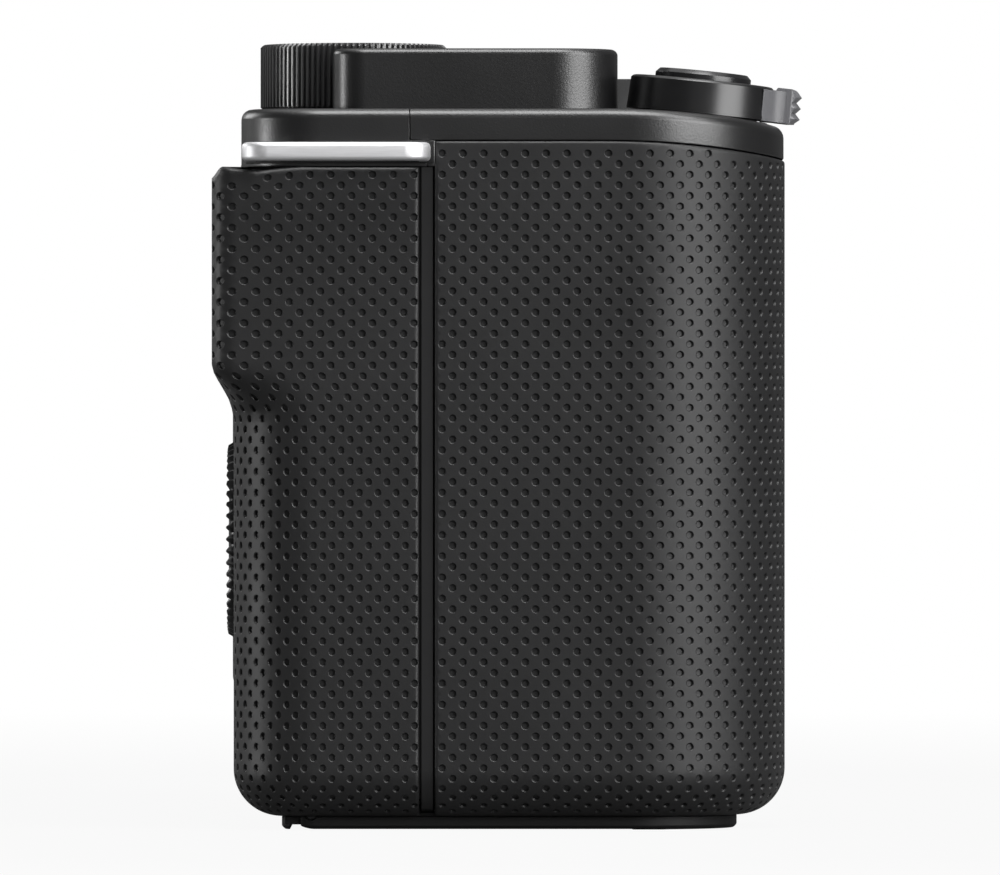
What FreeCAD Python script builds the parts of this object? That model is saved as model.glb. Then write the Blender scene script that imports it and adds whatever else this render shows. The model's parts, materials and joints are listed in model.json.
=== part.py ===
"""Compact interchangeable-lens camera body with a leathered grip and a zoom lever.

Millimetres, +Z up. The origin is the mouth of the tripod socket in the base, under
the lens axis. The lens looks along -Y and the grip is at -X.
"""

import FreeCAD, Part
import math
import os

import Sketcher

SIZES = [
    # Overall body, seen from above
    ("grip_side", 73.0),
    ("far_side", 48.0),
    ("rear_face", 24.3),
    ("grip_front", 26.1),
    ("front_face", 12.0),
    ("grip_wide", 31.5),
    ("rear_corner", 7.4),
    ("grip_corner", 14.0),
    ("finger_corner", 9.0),
    ("finger_root", 4.0),
    ("far_front_corner", 8.0),
    ("far_rear_corner", 6.0),
    # Heights
    ("base_thick", 1.2),
    ("belly_round", 4.3),
    ("rim_base", 62.7),
    ("rim_tall", 2.9),
    ("deck_tall", 5.7),
    ("leather_step", 2.4),
    # Shell
    ("skin", 1.2),
    ("wall", 1.4),
    ("rear_inset", 0.7),
    ("side_inset", 0.1),
    ("split", 6.6),
    ("strip_width", 1.4),
    ("strip_thick", 0.7),
    ("rim_seam", 8.2),
    ("slope_start", 9.0),
    ("slope_radius", 95.0),
    ("running", 0.05),
    ("gap", 0.3),
    # Thumb rest
    ("thumb_rise", 1.9),
    ("thumb_low", 41.8),
    ("thumb_long", 30.0),
    ("thumb_side", 8.5),
    ("thumb_corner", 5.0),
    # Top deck
    ("deck_inset", 10.0),
    ("deck_left", 44.0),
    ("deck_rear", 15.3),
    ("deck_front", 10.8),
    ("deck_rear_corner", 3.0),
    ("deck_front_corner", 6.0),
    ("deck_edge", 0.35),
    ("deck_wall", 1.5),
    ("shoe_x", 23.5),
    ("shoe_half", 10.8),
    ("shoe_inner", 9.35),
    ("shoe_lips", 6.3),
    ("shoe_slot", 2.05),
    ("shoe_deep", 3.4),
    ("grille_x", -6.0),
    ("grille_half", 12.0),
    ("grille_reach", 8.2),
    ("record_in", 8.5),
    ("record_y", -3.6),
    ("record_radius", 3.3),
    ("custom_in", 28.0),
    ("custom_y", 9.8),
    ("custom_radius", 2.6),
    ("power_in", 21.0),
    ("power_y", -4.0),
    ("power_travel", 3.6),
    ("mode_gap", 8.5),
    ("mode_y", 1.5),
    ("mode_travel", 2.8),
    # Control dial
    ("dial_in", 22.0),
    ("dial_y", 13.5),
    ("dial_radius", 8.5),
    ("dial_rise", 6.0),
    ("dial_notches", 40),
    ("notch_depth", 0.22),
    ("dial_bore", 2.0),
    # Zoom lever and shutter button
    ("ring_in", 16.0),
    ("ring_y", -18.3),
    ("ring_sink", 0.45),
    ("ring_tilt", 5.7),
    ("ring_radius", 6.5),
    ("ring_rise", 3.3),
    ("collar_radius", 5.3),
    ("collar_wall", 0.7),
    ("release_radius", 4.35),
    ("release_rise", 4.15),
    ("tab_width", 4.6),
    ("tab_reach", 9.4),
    # Lens mount
    ("mount_share", 0.60606),
    ("surround_radius", 32.0),
    ("surround_front", 15.8),
    ("flange_front", 16.6),
    ("ring_outer", 29.6),
    ("throat", 23.05),
    ("claw_inner", 21.4),
    ("claw_thick", 1.4),
    ("screw_circle", 26.4),
    ("claw_angle", 48.0),
    ("lock_rise", 1.3),
    ("release_front", 14.0),
    ("release_lens_radius", 4.2),
    ("lock_pin_radius", 1.1),
    ("lamp_in", 7.5),
    ("lamp_drop", 5.7),
    ("lamp_radius", 1.3),
    ("flange_to_sensor", 18.0),
    ("frame_half", 31.0),
    ("frame_low", 7.4),
    ("frame_drop", 1.7),
    # Sensor, its carrier and its guide
    ("sensor_half", 22.0),
    ("sensor_tall", 16.0),
    ("sensor_thick", 2.2),
    ("sensor_glass", 0.8),
    ("sensor_rim", 2.5),
    ("carrier_margin", 3.0),
    ("carrier_thick", 1.6),
    ("guide_margin", 1.0),
    ("guide_thick", 1.2),
    ("guide_rail", 9.0),
    ("guide_corner", 3.0),
    ("yoke_thick", 1.4),
    ("yoke_rail", 11.0),
    ("heat_thick", 0.8),
    ("heat_margin", 2.5),
    ("heat_gap", 0.2),
    # Main board
    ("board_half", 38.0),
    ("board_thick", 1.2),
    ("chip", 5.0),
    ("chip_tall", 1.1),
    # Memory card
    ("card_wide", 24.0),
    ("card_tall", 32.0),
    ("card_thick", 2.1),
    # Screen and its hinge plate
    ("screen_in", 35.4),
    ("screen_left", 41.0),
    ("screen_margin", 1.4),
    ("screen_back", 24.9),
    ("screen_thick", 5.4),
    ("plate_thick", 1.2),
    ("lower_axis_z", 11.0),
    ("axis_y", 23.3),
    ("pin_radius", 0.5),
    ("barrel", 1.05),
    ("lug_half", 0.92),
    ("knuckle", 6.0),
    ("hinge_in", 10.6),
    ("hinge_left", 30.0),
    ("screen_gap", 0.4),
    # Rear wheel and rear buttons
    ("wheel_in", 21.0),
    ("wheel_z", 26.3),
    ("wheel_radius", 8.95),
    ("wheel_back", 25.1),
    ("wheel_thick", 2.5),
    ("hub_radius", 4.4),
    ("centre_radius", 3.4),
    ("panel_front", 20.6),
    ("wheel_notches", 24),
    ("small_button", 2.3),
    # Battery bay
    ("door_in", 5.0),
    ("door_wide", 21.5),
    ("door_front", 18.9),
    ("door_axis_y", 17.2),
    ("door_corner", 7.0),
    ("door_thick", 1.6),
    ("door_axis_z", 1.4),
    ("door_clear", 1.3),
    ("door_swing", 1.9),
    ("door_lug", 2.4),
    ("door_barrel", 0.95),
    ("door_lug_half", 0.86),
    ("latch_half", 3.4),
    ("latch_travel", 2.6),
    ("battery_low", 3.0),
    ("battery_tall", 45.0),
    ("battery_wide", 18.5),
    ("battery_long", 31.8),
    # Tripod socket and far side doors
    ("tripod_radius", 3.175),
    ("tripod_depth", 5.5),
    ("tripod_outer", 5.6),
    ("side_axis_y", 17.0),
    ("side_axis_in", 1.4),
    ("side_door_front", 3.4),
    ("side_swing", 2.0),
    ("side_barrel", 0.9),
    ("side_lug", 1.6),
    ("side_pin", 0.45),
    ("jack_radius", 1.75),
    ("bolt_radius", 1.6),
    ("bolt_low", 0.2),
    ("bolt_high", 0.85),
    ("port_low", 35.5),
    ("port_drop", 5.7),
    ("charge_low", 8.0),
    ("charge_high", 33.0),
    # Strap lugs
    ("lug_reach", 4.2),
    ("lug_front", 6.3),
    ("lug_rear", 23.3),
    ("lug_drop", 1.7),
    ("lug_thick", 1.45),
]


class Size:
    """A length that knows its number and the formula that gives it in the sheet."""

    def __init__(self, text, number):
        self.text = text
        self.number = number

    def joined(self, sign, other, number):
        return Size(f"({self.text} {sign} {size(other).text})", number)

    def __add__(self, other):
        return self.joined("+", other, self.number + size(other).number)

    def __sub__(self, other):
        return self.joined("-", other, self.number - size(other).number)

    def __mul__(self, other):
        return self.joined("*", other, self.number * size(other).number)

    def __truediv__(self, other):
        return self.joined("/", other, self.number / size(other).number)

    def __radd__(self, other):
        return size(other) + self

    def __rsub__(self, other):
        return size(other) - self

    def __rmul__(self, other):
        return size(other) * self

    def __neg__(self):
        return Size(f"(0 - {self.text})", -self.number)


def size(value):
    """The value as a Size."""
    return value if isinstance(value, Size) else Size(repr(float(value)), float(value))


class Sheet:
    """The driving dimensions, as cells with aliases and as attributes in formulas."""

    def __init__(self, document):
        self.cells = document.addObject("Spreadsheet::Sheet", "sizes")
        self.numbers = dict(SIZES)
        self.following = {}
        for row, (name, number) in enumerate(SIZES, 1):
            self.cells.set(f"A{row}", name)
            self.cells.set(f"B{row}", str(number))
            self.cells.setAlias(f"B{row}", name)

    def __getattr__(self, name):
        if name in self.following:
            return self.following[name]
        return Size(f"sizes.{name}", float(self.numbers[name]))

    def follow(self, **lengths):
        """Names lengths that follow from others."""
        self.following.update(lengths)


doc = FreeCAD.newDocument("camera")
S = Sheet(doc)
doc.recompute()
V = FreeCAD.Vector

# Where things lie follows from the outline they belong to
S.follow(
    finger_side=S.grip_side - S.grip_wide,
    rim_top=S.rim_base + S.rim_tall,
    rear_leather_top=S.rim_base - S.leather_step,
    upper_axis_z=S.rim_base - S.leather_step,
    mount_z=S.rim_base * S.mount_share,
    frame_high=S.rim_base - S.frame_drop,
    lamp_z=S.rim_base - S.lamp_drop,
    port_high=S.rim_base - S.port_drop,
    lug_low=S.rim_base - S.lug_drop,
    thumb_end=S.grip_side - S.thumb_long,
    thumb_wrap=S.grip_side - S.thumb_side,
    deck_right=S.grip_side - S.deck_inset,
    dial_x=S.dial_in - S.grip_side,
    ring_x=S.ring_in - S.grip_side,
    wheel_x=S.wheel_in - S.grip_side,
    screen_right=S.grip_side - S.screen_in,
    door_right=S.grip_side - S.door_in,
)
S.follow(
    lamp_x=S.finger_side - S.lamp_in,
    deck_top=S.rim_top + S.deck_tall,
    ring_z=S.rim_top - S.ring_sink,
    record_x=S.record_in - S.deck_right,
    custom_x=S.custom_in - S.deck_right,
    power_x=S.power_in - S.deck_right,
    mode_x=S.grille_x - S.grille_half - S.mode_gap,
    screen_low=S.lower_axis_z + S.screen_margin,
    screen_high=S.upper_axis_z - S.screen_margin,
    hinge_right=S.screen_right - S.hinge_in,
    door_left=S.door_right - S.door_wide,
)
S.follow(shoe_floor=S.deck_top - S.shoe_deep)
NODES = []
counter = {}


def named(kind, name):
    """A new document object with a name of its own."""
    counter[name] = counter.get(name, 0) + 1
    return doc.addObject(kind, f"{name}_{counter[name]}")


def bind(thing, **lengths):
    """Ties the properties of an object to formulas of the sheet."""
    for prop, length in lengths.items():
        thing.setExpression(prop, size(length).text)
    return thing


def place(thing, x=0, y=0, z=0):
    for axis, length in zip("xyz", (x, y, z)):
        thing.setExpression(f"Placement.Base.{axis}", size(length).text)
    return thing


TURNS = {
    "Z": FreeCAD.Rotation(),
    "Y": FreeCAD.Rotation(V(1, 0, 0), -90),
    "X": FreeCAD.Rotation(V(0, 1, 0), 90),
}


def box(x0, x1, y0, y1, z0, z1, name="box"):
    """A block between two corners."""
    block = named("Part::Box", name)
    bind(block, Length=size(x1) - x0, Width=size(y1) - y0, Height=size(z1) - z0)
    return place(block, x0, y0, z0)


def rod(axis, x, y, z, radius, length, name="rod"):
    """A round bar that starts at a point and runs up its axis."""
    bar = named("Part::Cylinder", name)
    bind(bar, Radius=radius, Height=length)
    bar.Placement = FreeCAD.Placement(V(), TURNS[axis])
    return place(bar, x, y, z)


def stud(axis, x, y, z, radius, length, name="stud"):
    """A twelve-sided bar, for small fasteners and their wells."""
    bar = named("Part::Prism", name)
    bar.Polygon = 12
    bind(bar, Circumradius=radius, Height=length)
    bar.Placement = FreeCAD.Placement(V(), TURNS[axis])
    return place(bar, x, y, z)


def fuse(*shapes, name="fuse"):
    joined = named("Part::MultiFuse", name)
    joined.Shapes = list(shapes)
    return joined


def cut(base, *tools, name="cut"):
    """The base without its tools."""
    rest = named("Part::Cut", name)
    rest.Base = base
    rest.Tool = tools[0] if len(tools) == 1 else fuse(*tools)
    return rest


def common(*shapes, name="common"):
    shared = named("Part::MultiCommon", name)
    shared.Shapes = list(shapes)
    return shared


def group(*shapes, name="group"):
    """Separate solids that share a node."""
    several = named("Part::Compound", name)
    several.Links = list(shapes)
    return several


def node(shape, label):
    """Gives a finished sub-part its label, which names its file."""
    shape.Label = label
    NODES.append(shape)
    return shape


def corner_turn(before, here, after, radius):
    """Where a round corner starts and ends, its centre, and the way it turns."""
    come = (here - before).normalize()
    leave = (after - here).normalize()
    cross = come.x * leave.y - come.y * leave.x
    turn = math.acos(max(-1.0, min(1.0, come.dot(leave))))
    reach = radius * math.tan(turn / 2)
    start = here - come * reach
    side = V(-come.y, come.x, 0) * (1 if cross > 0 else -1)
    return start, here + leave * reach, start + side * radius, cross > 0


def outline(sketch, corners):
    """Draws a closed outline. Each corner is x, y and, where it is round, a radius."""
    points = [V(size(c[0]).number, size(c[1]).number, 0) for c in corners]
    count = len(corners)
    ends = []
    arcs = []
    for i, corner in enumerate(corners):
        if len(corner) == 3:
            start, end, centre, left = corner_turn(
                points[i - 1], points[i], points[(i + 1) % count], size(corner[2]).number
            )
            ends.append((start, end))
            first, last = (start, end) if left else (end, start)
            angles = [math.atan2(p.y - centre.y, p.x - centre.x) for p in (first, last)]
            circle = Part.Circle(centre, V(0, 0, 1), size(corner[2]).number)
            arcs.append((Part.ArcOfCircle(circle, *angles), left))
        else:
            ends.append((points[i], points[i]))
            arcs.append(None)
    lines = [
        sketch.addGeometry(Part.LineSegment(ends[i][1], ends[(i + 1) % count][0]), False)
        for i in range(count)
    ]
    for i, corner in enumerate(corners):
        before, after = lines[i - 1], lines[i]
        if arcs[i]:
            arc = sketch.addGeometry(arcs[i][0], False)
            entry, leave = (1, 2) if arcs[i][1] else (2, 1)
            mark = sketch.addGeometry(Part.Point(points[i]), True)
            sketch.addConstraint(Sketcher.Constraint("Tangent", before, 2, arc, entry))
            sketch.addConstraint(Sketcher.Constraint("Tangent", arc, leave, after, 1))
            sketch.addConstraint(Sketcher.Constraint("PointOnObject", mark, 1, before))
            sketch.addConstraint(Sketcher.Constraint("PointOnObject", mark, 1, after))
            tie(sketch, "Radius", corner[2], arc)
            where = (mark, 1)
        else:
            sketch.addConstraint(Sketcher.Constraint("Coincident", before, 2, after, 1))
            where = (after, 1)
        tie(sketch, "DistanceX", corner[0], -1, 1, *where)
        tie(sketch, "DistanceY", corner[1], -1, 1, *where)


def tie(sketch, kind, length, *where):
    """A dimension of a sketch, tied to its formula."""
    index = sketch.addConstraint(Sketcher.Constraint(kind, *where, size(length).number))
    sketch.setExpression(f"Constraints[{index}]", size(length).text)


def ring_mark(sketch, x, y, radius):
    """A full circle at its place."""
    index = sketch.addGeometry(
        Part.Circle(V(size(x).number, size(y).number, 0), V(0, 0, 1), size(radius).number),
        False,
    )
    tie(sketch, "Radius", radius, index)
    tie(sketch, "DistanceX", x, -1, 1, index, 3)
    tie(sketch, "DistanceY", y, -1, 1, index, 3)


def circle(x, y, radius):
    return ("circle", x, y, radius)


class Piece:
    """A body built from sketches on its own planes.

    Heights run along the plane's normal: +Z on XY, -Y on XZ and +X on YZ.
    """

    def __init__(self, name):
        self.body = named("PartDesign::Body", name)
        self.name = name

    def origin(self, role):
        return next(o for o in self.body.Origin.OriginFeatures if o.Role == role)

    def feature(self, kind, name):
        counter[name] = counter.get(name, 0) + 1
        return self.body.newObject(kind, f"{name}_{counter[name]}")

    def sketch(self, loops, plane, height):
        drawn = self.feature("Sketcher::SketchObject", self.name + "_sketch")
        drawn.AttachmentSupport = [(self.origin(f"{plane}_Plane"), "")]
        drawn.MapMode = "FlatFace"
        drawn.setExpression("AttachmentOffset.Base.z", size(height).text)
        for loop in loops:
            if loop[0] == "circle":
                ring_mark(drawn, *loop[1:])
            else:
                outline(drawn, loop)
        return drawn

    def pad(self, loops, low, high, plane="XY"):
        added = self.feature("PartDesign::Pad", self.name + "_pad")
        added.Profile = self.sketch(loops, plane, low)
        bind(added, Length=size(high) - low)
        return self

    def pocket(self, loops, low, high, plane="XY"):
        taken = self.feature("PartDesign::Pocket", self.name + "_pocket")
        taken.Profile = self.sketch(loops, plane, high)
        bind(taken, Length=size(high) - low)
        return self

    def dressed(self, kind, wanted, **amount):
        """Rounds or bevels the edges for which wanted is true."""
        doc.recompute()
        base = self.body.Tip
        names = [f"Edge{i}" for i, edge in enumerate(base.Shape.Edges, 1) if wanted(edge)]
        finish = self.feature(f"PartDesign::{kind}", f"{self.name}_{kind.lower()}")
        finish.Base = (base, names)
        bind(finish, **amount)
        return self

    def bevelled(self, width, wanted):
        return self.dressed("Chamfer", wanted, Size=width)

    def around(self, count):
        """Repeats the last feature round the body's Z axis."""
        doc.recompute()
        last = self.body.Tip
        ring = self.feature("PartDesign::PolarPattern", self.name + "_pattern")
        ring.Originals = [last]
        ring.Axis = (self.origin("Z_Axis"), [""])
        ring.Angle = 360
        ring.setExpression("Occurrences", size(count).text)
        self.body.Tip = ring
        return self


def level(height):
    """True for an edge that lies wholly at a height."""
    at = size(height).number

    def test(edge):
        return abs(edge.BoundBox.ZMin - at) < 1e-4 and abs(edge.BoundBox.ZMax - at) < 1e-4

    return test


def either(*tests):
    """True for an edge that passes one of the tests."""
    return lambda edge: any(test(edge) for test in tests)


def facing(forward):
    """True for an edge that lies wholly in the plane that far in front of the axis."""
    at = -size(forward).number

    def test(edge):
        return abs(edge.BoundBox.YMin - at) < 1e-4 and abs(edge.BoundBox.YMax - at) < 1e-4

    return test


def hull_plan(inset, rear=None):
    """The body seen from above, moved inwards, with the grip on the left."""
    rear = inset if rear is None else rear
    right = -S.grip_side + inset
    left = S.far_side - inset
    back = S.rear_face - rear
    finger = -S.finger_side - inset
    return [
        (right, back, S.rear_corner - inset),
        (right, -S.grip_front + inset, S.grip_corner - inset),
        (finger, -S.grip_front + inset, S.finger_corner - inset),
        (finger, -S.front_face + inset, S.finger_root + inset),
        (left, -S.front_face + inset, S.far_front_corner - inset),
        (left, back, S.far_rear_corner - inset),
    ]


# A round of radius 1 in three flats: the two outer flats' share of it
BEVEL_SHARE = 0.2153


def hull(inset, low, high, round_under=None, rear=None, name="hull"):
    """The body's block, with its lower edge rounded in three flats."""
    block = Piece(name).pad([hull_plan(inset, rear)], low, high)
    if round_under is not None:
        first = round_under * (2 - math.sqrt(2))
        block.bevelled(first, level(low))
        second = round_under * BEVEL_SHARE
        block.bevelled(second, either(level(low), level(size(low) + first)))
    return block.body


def slope_point(height):
    """How far the sloping rim has dropped at the front of the grip."""
    run = S.grip_front - S.slope_start + 2
    drop = run * run / (S.slope_radius * 2)
    return height - drop


def rim_profile(low, high, rear):
    """Side view of the rim: level at the deck and falling over the grip."""
    reach = -S.grip_front - 2
    knee = -S.slope_start - (S.grip_front - S.slope_start + 2) / 2
    bend = S.slope_radius
    return [
        (rear, low),
        (rear, high),
        (knee, high, bend),
        (reach, slope_point(high)),
        (reach, slope_point(low)),
        (knee, low, bend),
    ]


# Shared solids of the casing
belly = S.base_thick
outer = hull(0, belly, S.rim_top, S.belly_round, name="outer_hull")
under_skin = hull(S.skin, belly + S.skin, S.rim_top, S.belly_round - S.skin, name="skin_hull")
cover_hull = hull(
    S.side_inset, belly, S.rim_top, S.belly_round, rear=S.rear_inset, name="cover_hull"
)
cavity = hull(S.skin + S.wall, belly + S.wall, S.rim_top + 1, name="cavity")
base_inset = S.belly_round + S.side_inset
floor_plug = hull(base_inset, 0, belly + S.skin, name="floor_plug")
above_rim = (
    Piece("above_rim")
    .pad([rim_profile(S.rim_base, S.rim_top + 8, S.rim_seam)], -90, 90, "YZ")
    .body
)
groove_front = S.split - S.strip_width / 2
groove_rear = S.split + S.strip_width / 2

# Leather of the grip
grip_zone = box(-90, -S.finger_side + S.finger_root, -60, groove_front, 0, S.rim_top)
grip_wrap = common(cut(outer, under_skin), grip_zone)
grip_leather = node(cut(grip_wrap, floor_plug, above_rim, name="grip"), "grip_leather")

# Leather of the thumb rest
rest_back = S.rear_face + S.thumb_rise
rest_profile = [
    (groove_rear, S.rear_leather_top),
    (rest_back, S.rear_leather_top, 1.6),
    (rest_back, S.thumb_low, 4),
    (S.rear_face - 3.6, S.thumb_low - 9),
    (groove_rear, S.thumb_low - 9),
]
rest_plan = [
    (-S.grip_side, groove_rear),
    (-S.thumb_end, groove_rear),
    (-S.thumb_end, rest_back, 2.4),
    (-S.grip_side, rest_back, S.thumb_corner),
]
rest_block = common(
    Piece("rest_side").pad([rest_profile], -90, 0, "YZ").body,
    Piece("rest_plan").pad([rest_plan], 20, S.rear_leather_top + 1).body,
)
thumb_zone = box(-90, -S.thumb_wrap, groove_rear, 60, 0, S.rear_leather_top)
thumb_wrap = fuse(common(outer, thumb_zone), rest_block)
thumb_body = cut(thumb_wrap, under_skin, floor_plug, name="thumb")
thumb_leather = node(thumb_body, "thumb_leather")

# Strip in the groove between the two leathers
strip_face = -S.grip_side + S.skin
strip_zone = box(
    strip_face - S.strip_thick, strip_face + 5, groove_front, groove_rear,
    belly + S.belly_round, S.rear_leather_top,
)
strip = cut(strip_zone, under_skin, name="strip")
node(strip, "side_strip")

# Doors, lugs and the screen recess are cut from the covers, so they are sized first
door_rear = S.door_axis_y - S.door_clear
hole_rear = S.door_axis_y + S.door_swing
door_outline = [
    (-S.door_right, door_rear),
    (-S.door_right, -S.door_front, S.door_corner),
    (-S.door_left, -S.door_front, 3),
    (-S.door_left, door_rear),
]
door_hole_outline = [
    (-S.door_right - S.gap, hole_rear),
    (-S.door_right - S.gap, -S.door_front - S.gap, S.door_corner + S.gap),
    (-S.door_left + S.gap, -S.door_front - S.gap, 3 + S.gap),
    (-S.door_left + S.gap, hole_rear),
]
door_hole = Piece("door_hole").pad([door_hole_outline], -1, belly + S.wall + 1).body
tripod_hole = rod("Z", 0, 0, -1, S.tripod_outer, 12, "tripod_hole")


def lug(side, direction, label):
    """A flat metal loop for the strap, let into the side of the rear cover."""
    tip = side + direction * S.lug_reach
    root = side - direction * 2.5
    slot_in = side + direction * 0.7
    slot_out = tip - direction * 1.3
    plan = [
        (root, S.lug_front),
        (tip, S.lug_front, 1.5),
        (tip, S.lug_rear, 1.5),
        (root, S.lug_rear),
    ]
    slot = [
        (slot_in, S.lug_front + 2.2),
        (slot_out, S.lug_front + 2.2, 0.6),
        (slot_out, S.lug_rear - 2.2, 0.6),
        (slot_in, S.lug_rear - 2.2),
    ]
    loop = Piece(label).pad([plan, slot], S.lug_low, S.lug_low + S.lug_thick).body
    return node(loop, label)


strap_lug_right = lug(-S.grip_side, -1, "strap_lug_right")
strap_lug_left = lug(S.far_side, 1, "strap_lug_left")

# Front cover
front_back = S.front_face - S.side_inset
surround = cut(
    rod("Y", 0, -S.surround_front, S.mount_z, S.surround_radius, S.surround_front - S.deck_front),
    rod("Y", 0, -S.surround_front - 1, S.mount_z, S.ring_outer + S.gap, 20),
    name="surround",
)
node(surround, "mount_surround")
throat_hole = rod("Y", 0, -40, S.mount_z, S.throat + 0.8, 40, "throat_hole")
release_x = S.surround_radius + S.release_lens_radius + 1.4
release_z = S.mount_z - 11
release_hole = rod("Y", release_x, -40, release_z, S.release_lens_radius + 0.2, 34)
pin_x = S.screw_circle * 0.966
pin_z = S.mount_z - S.screw_circle * 0.2588
pin_hole = rod("Y", pin_x, -40, pin_z, S.lock_pin_radius + 0.15, 34)
lamp_hole = rod("Y", -S.lamp_x, -S.front_face - 1, S.lamp_z, S.lamp_radius + S.running, 1.8)
side_axis_x = S.far_side - S.side_axis_in


def side_hole(low, high):
    """The opening behind a door of the far side."""
    return box(
        S.far_side - 6, S.far_side + 2, -S.side_door_front - S.gap,
        S.side_axis_y + S.side_swing, low - S.gap, high + S.gap,
    )


port_hole = side_hole(S.port_low, S.port_high)
charge_hole = side_hole(S.charge_low, S.charge_high)
channel = cut(
    box(-90, strip_face + 5, groove_front, groove_rear, 0, S.rear_leather_top), under_skin
)
front_shell = common(cover_hull, box(-90, 90, -60, S.split, 0, S.rim_top))
front_cover = cut(
    front_shell, cavity, grip_leather, above_rim, channel, door_hole, tripod_hole,
    strap_lug_right, strap_lug_left, throat_hole, surround, release_hole, pin_hole, lamp_hole,
    port_hole, charge_hole,
    name="front",
)
node(front_cover, "front_cover")
tally_lamp = rod(
    "Y", -S.lamp_x, -S.front_face, S.lamp_z, S.lamp_radius, 0.8, "tally_lamp"
)
node(tally_lamp, "tally_lamp")

# Rear cover with the screen pan, the control panel and the hinge lugs
recess_right = -S.screen_right - S.screen_gap
recess_left = S.screen_left + S.screen_gap
recess_low = S.lower_axis_z - 1.4
recess_high = S.upper_axis_z + 1.4
recess_floor = S.screen_back - S.screen_thick - S.plate_thick - 2 * S.gap - 0.1
pan = box(
    recess_right - S.wall, recess_left + S.wall, recess_floor - S.wall, S.rear_face - 2,
    recess_low - S.wall, recess_high + S.wall, "pan",
)
recess = box(
    recess_right, recess_left, recess_floor, S.rear_face + 5, recess_low, recess_high, "recess"
)
panel = box(
    -S.grip_side + 7, recess_right, S.panel_front, S.rear_face - 2, S.wall + belly + 2,
    S.thumb_low + 2, "panel",
)
rear_plane = S.rear_face - S.rear_inset
wheel_floor = S.wheel_back - S.wheel_thick - S.gap
wheel_well = rod("Y", S.wheel_x, wheel_floor, S.wheel_z, S.wheel_radius + 0.35, 10)
centre_hole = rod("Y", S.wheel_x, 10, S.wheel_z, S.centre_radius + S.gap, 25)
wheel_hub = rod("Y", S.wheel_x, wheel_floor - 0.5, S.wheel_z, S.hub_radius, 2.2)
REAR_BUTTONS = {
    "menu_button": (S.wheel_x + 9.7, S.wheel_z + 7.6),
    "function_button": (S.wheel_x, S.wheel_z - 14.9),
    "playback_button": (S.wheel_x - 8, S.wheel_z - 13.7),
    "delete_button": (S.wheel_x + 8, S.wheel_z - 13.7),
}
button_holes = [
    rod("Y", x, 10, z, S.small_button + 0.2, 25, "button_hole")
    for x, z in REAR_BUTTONS.values()
]


def barrel(x0, x1, y, z):
    """A hinge knuckle along X."""
    return rod("X", x0, y, z, S.barrel, size(x1) - x0, "knuckle")


def square_lug(x0, x1, y, z):
    """A hinge lug along X with a square section."""
    half = S.lug_half
    return box(x0, x1, y - half, y + half, z - half, z + half, "lug")


def beside(station):
    """Where the outer knuckles lie on both sides of a hinge's own knuckle."""
    low = station - S.knuckle / 2 - 0.2
    high = station + S.knuckle / 2 + 0.2
    return [(low - 2, low), (high, high + 2)]


stations = [-S.hinge_right, S.hinge_left]
upper_lugs = []
for station in stations:
    for x0, x1 in beside(station):
        upper_lugs.append(square_lug(x0, x1, S.axis_y, S.upper_axis_z))
        upper_lugs.append(
            box(x0, x1, S.axis_y - 0.8, S.axis_y + 0.3, S.upper_axis_z, recess_high + 0.5)
        )


def hinge_bores(z):
    """The bores for the pins of a hinge line."""
    return [
        stud("X", x - 10, S.axis_y, z, S.pin_radius + S.running, 20, "pin_bore") for x in stations
    ]


def hinge_pins(z, label):
    """Two steel pins on a hinge line."""
    half = S.knuckle / 2 + 2
    pins = [stud("X", x - half, S.axis_y, z, S.pin_radius, half * 2, "pin") for x in stations]
    return node(group(*pins), label)


side_spans = [(S.port_low, S.port_high), (S.charge_low, S.charge_high)]
side_lugs = []
for low, high in side_spans:
    for z in (low, high - S.side_lug):
        side_lugs.append(
            box(
                side_axis_x - S.side_barrel, side_axis_x + S.side_barrel,
                S.side_axis_y - S.side_barrel, S.side_axis_y + S.side_swing + 0.5,
                z, z + S.side_lug,
            )
        )
side_bore = stud(
    "Z", side_axis_x, S.side_axis_y, S.charge_low - 0.2, S.side_pin + S.running,
    S.port_high - S.charge_low + 0.4,
)
dial_shaft_hole = rod("Z", S.dial_x, S.dial_y, S.rim_top - 4, S.dial_bore, 6)
rear_shell = cut(
    common(cover_hull, box(-90, 90, S.split, 60, 0, S.rim_top)), cavity, above_rim
)
rear_roof = common(cover_hull, box(-90, 90, S.rim_seam, 60, S.rim_top - 1.6, S.rim_top))
rear_solid = cut(
    fuse(rear_shell, rear_roof, common(fuse(pan, panel), cover_hull)),
    recess, thumb_leather, channel, door_hole, strap_lug_right, strap_lug_left,
    port_hole, charge_hole, wheel_well, dial_shaft_hole, *button_holes,
)
rear_cover = cut(
    fuse(rear_solid, wheel_hub, *upper_lugs, *side_lugs),
    centre_hole, side_bore, *hinge_bores(S.upper_axis_z), name="rear",
)
node(rear_cover, "rear_cover")

# Top cover with the tilted seat of the zoom lever


def tilted(thing):
    """Puts a piece modelled about the lever's axis on its tilted seat."""
    thing.Placement = FreeCAD.Placement(V(), FreeCAD.Rotation(V(1, 0, 0), 1))
    thing.setExpression("Placement.Rotation.Angle", S.ring_tilt.text)
    return place(thing, S.ring_x, S.ring_y, S.ring_z)


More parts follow.
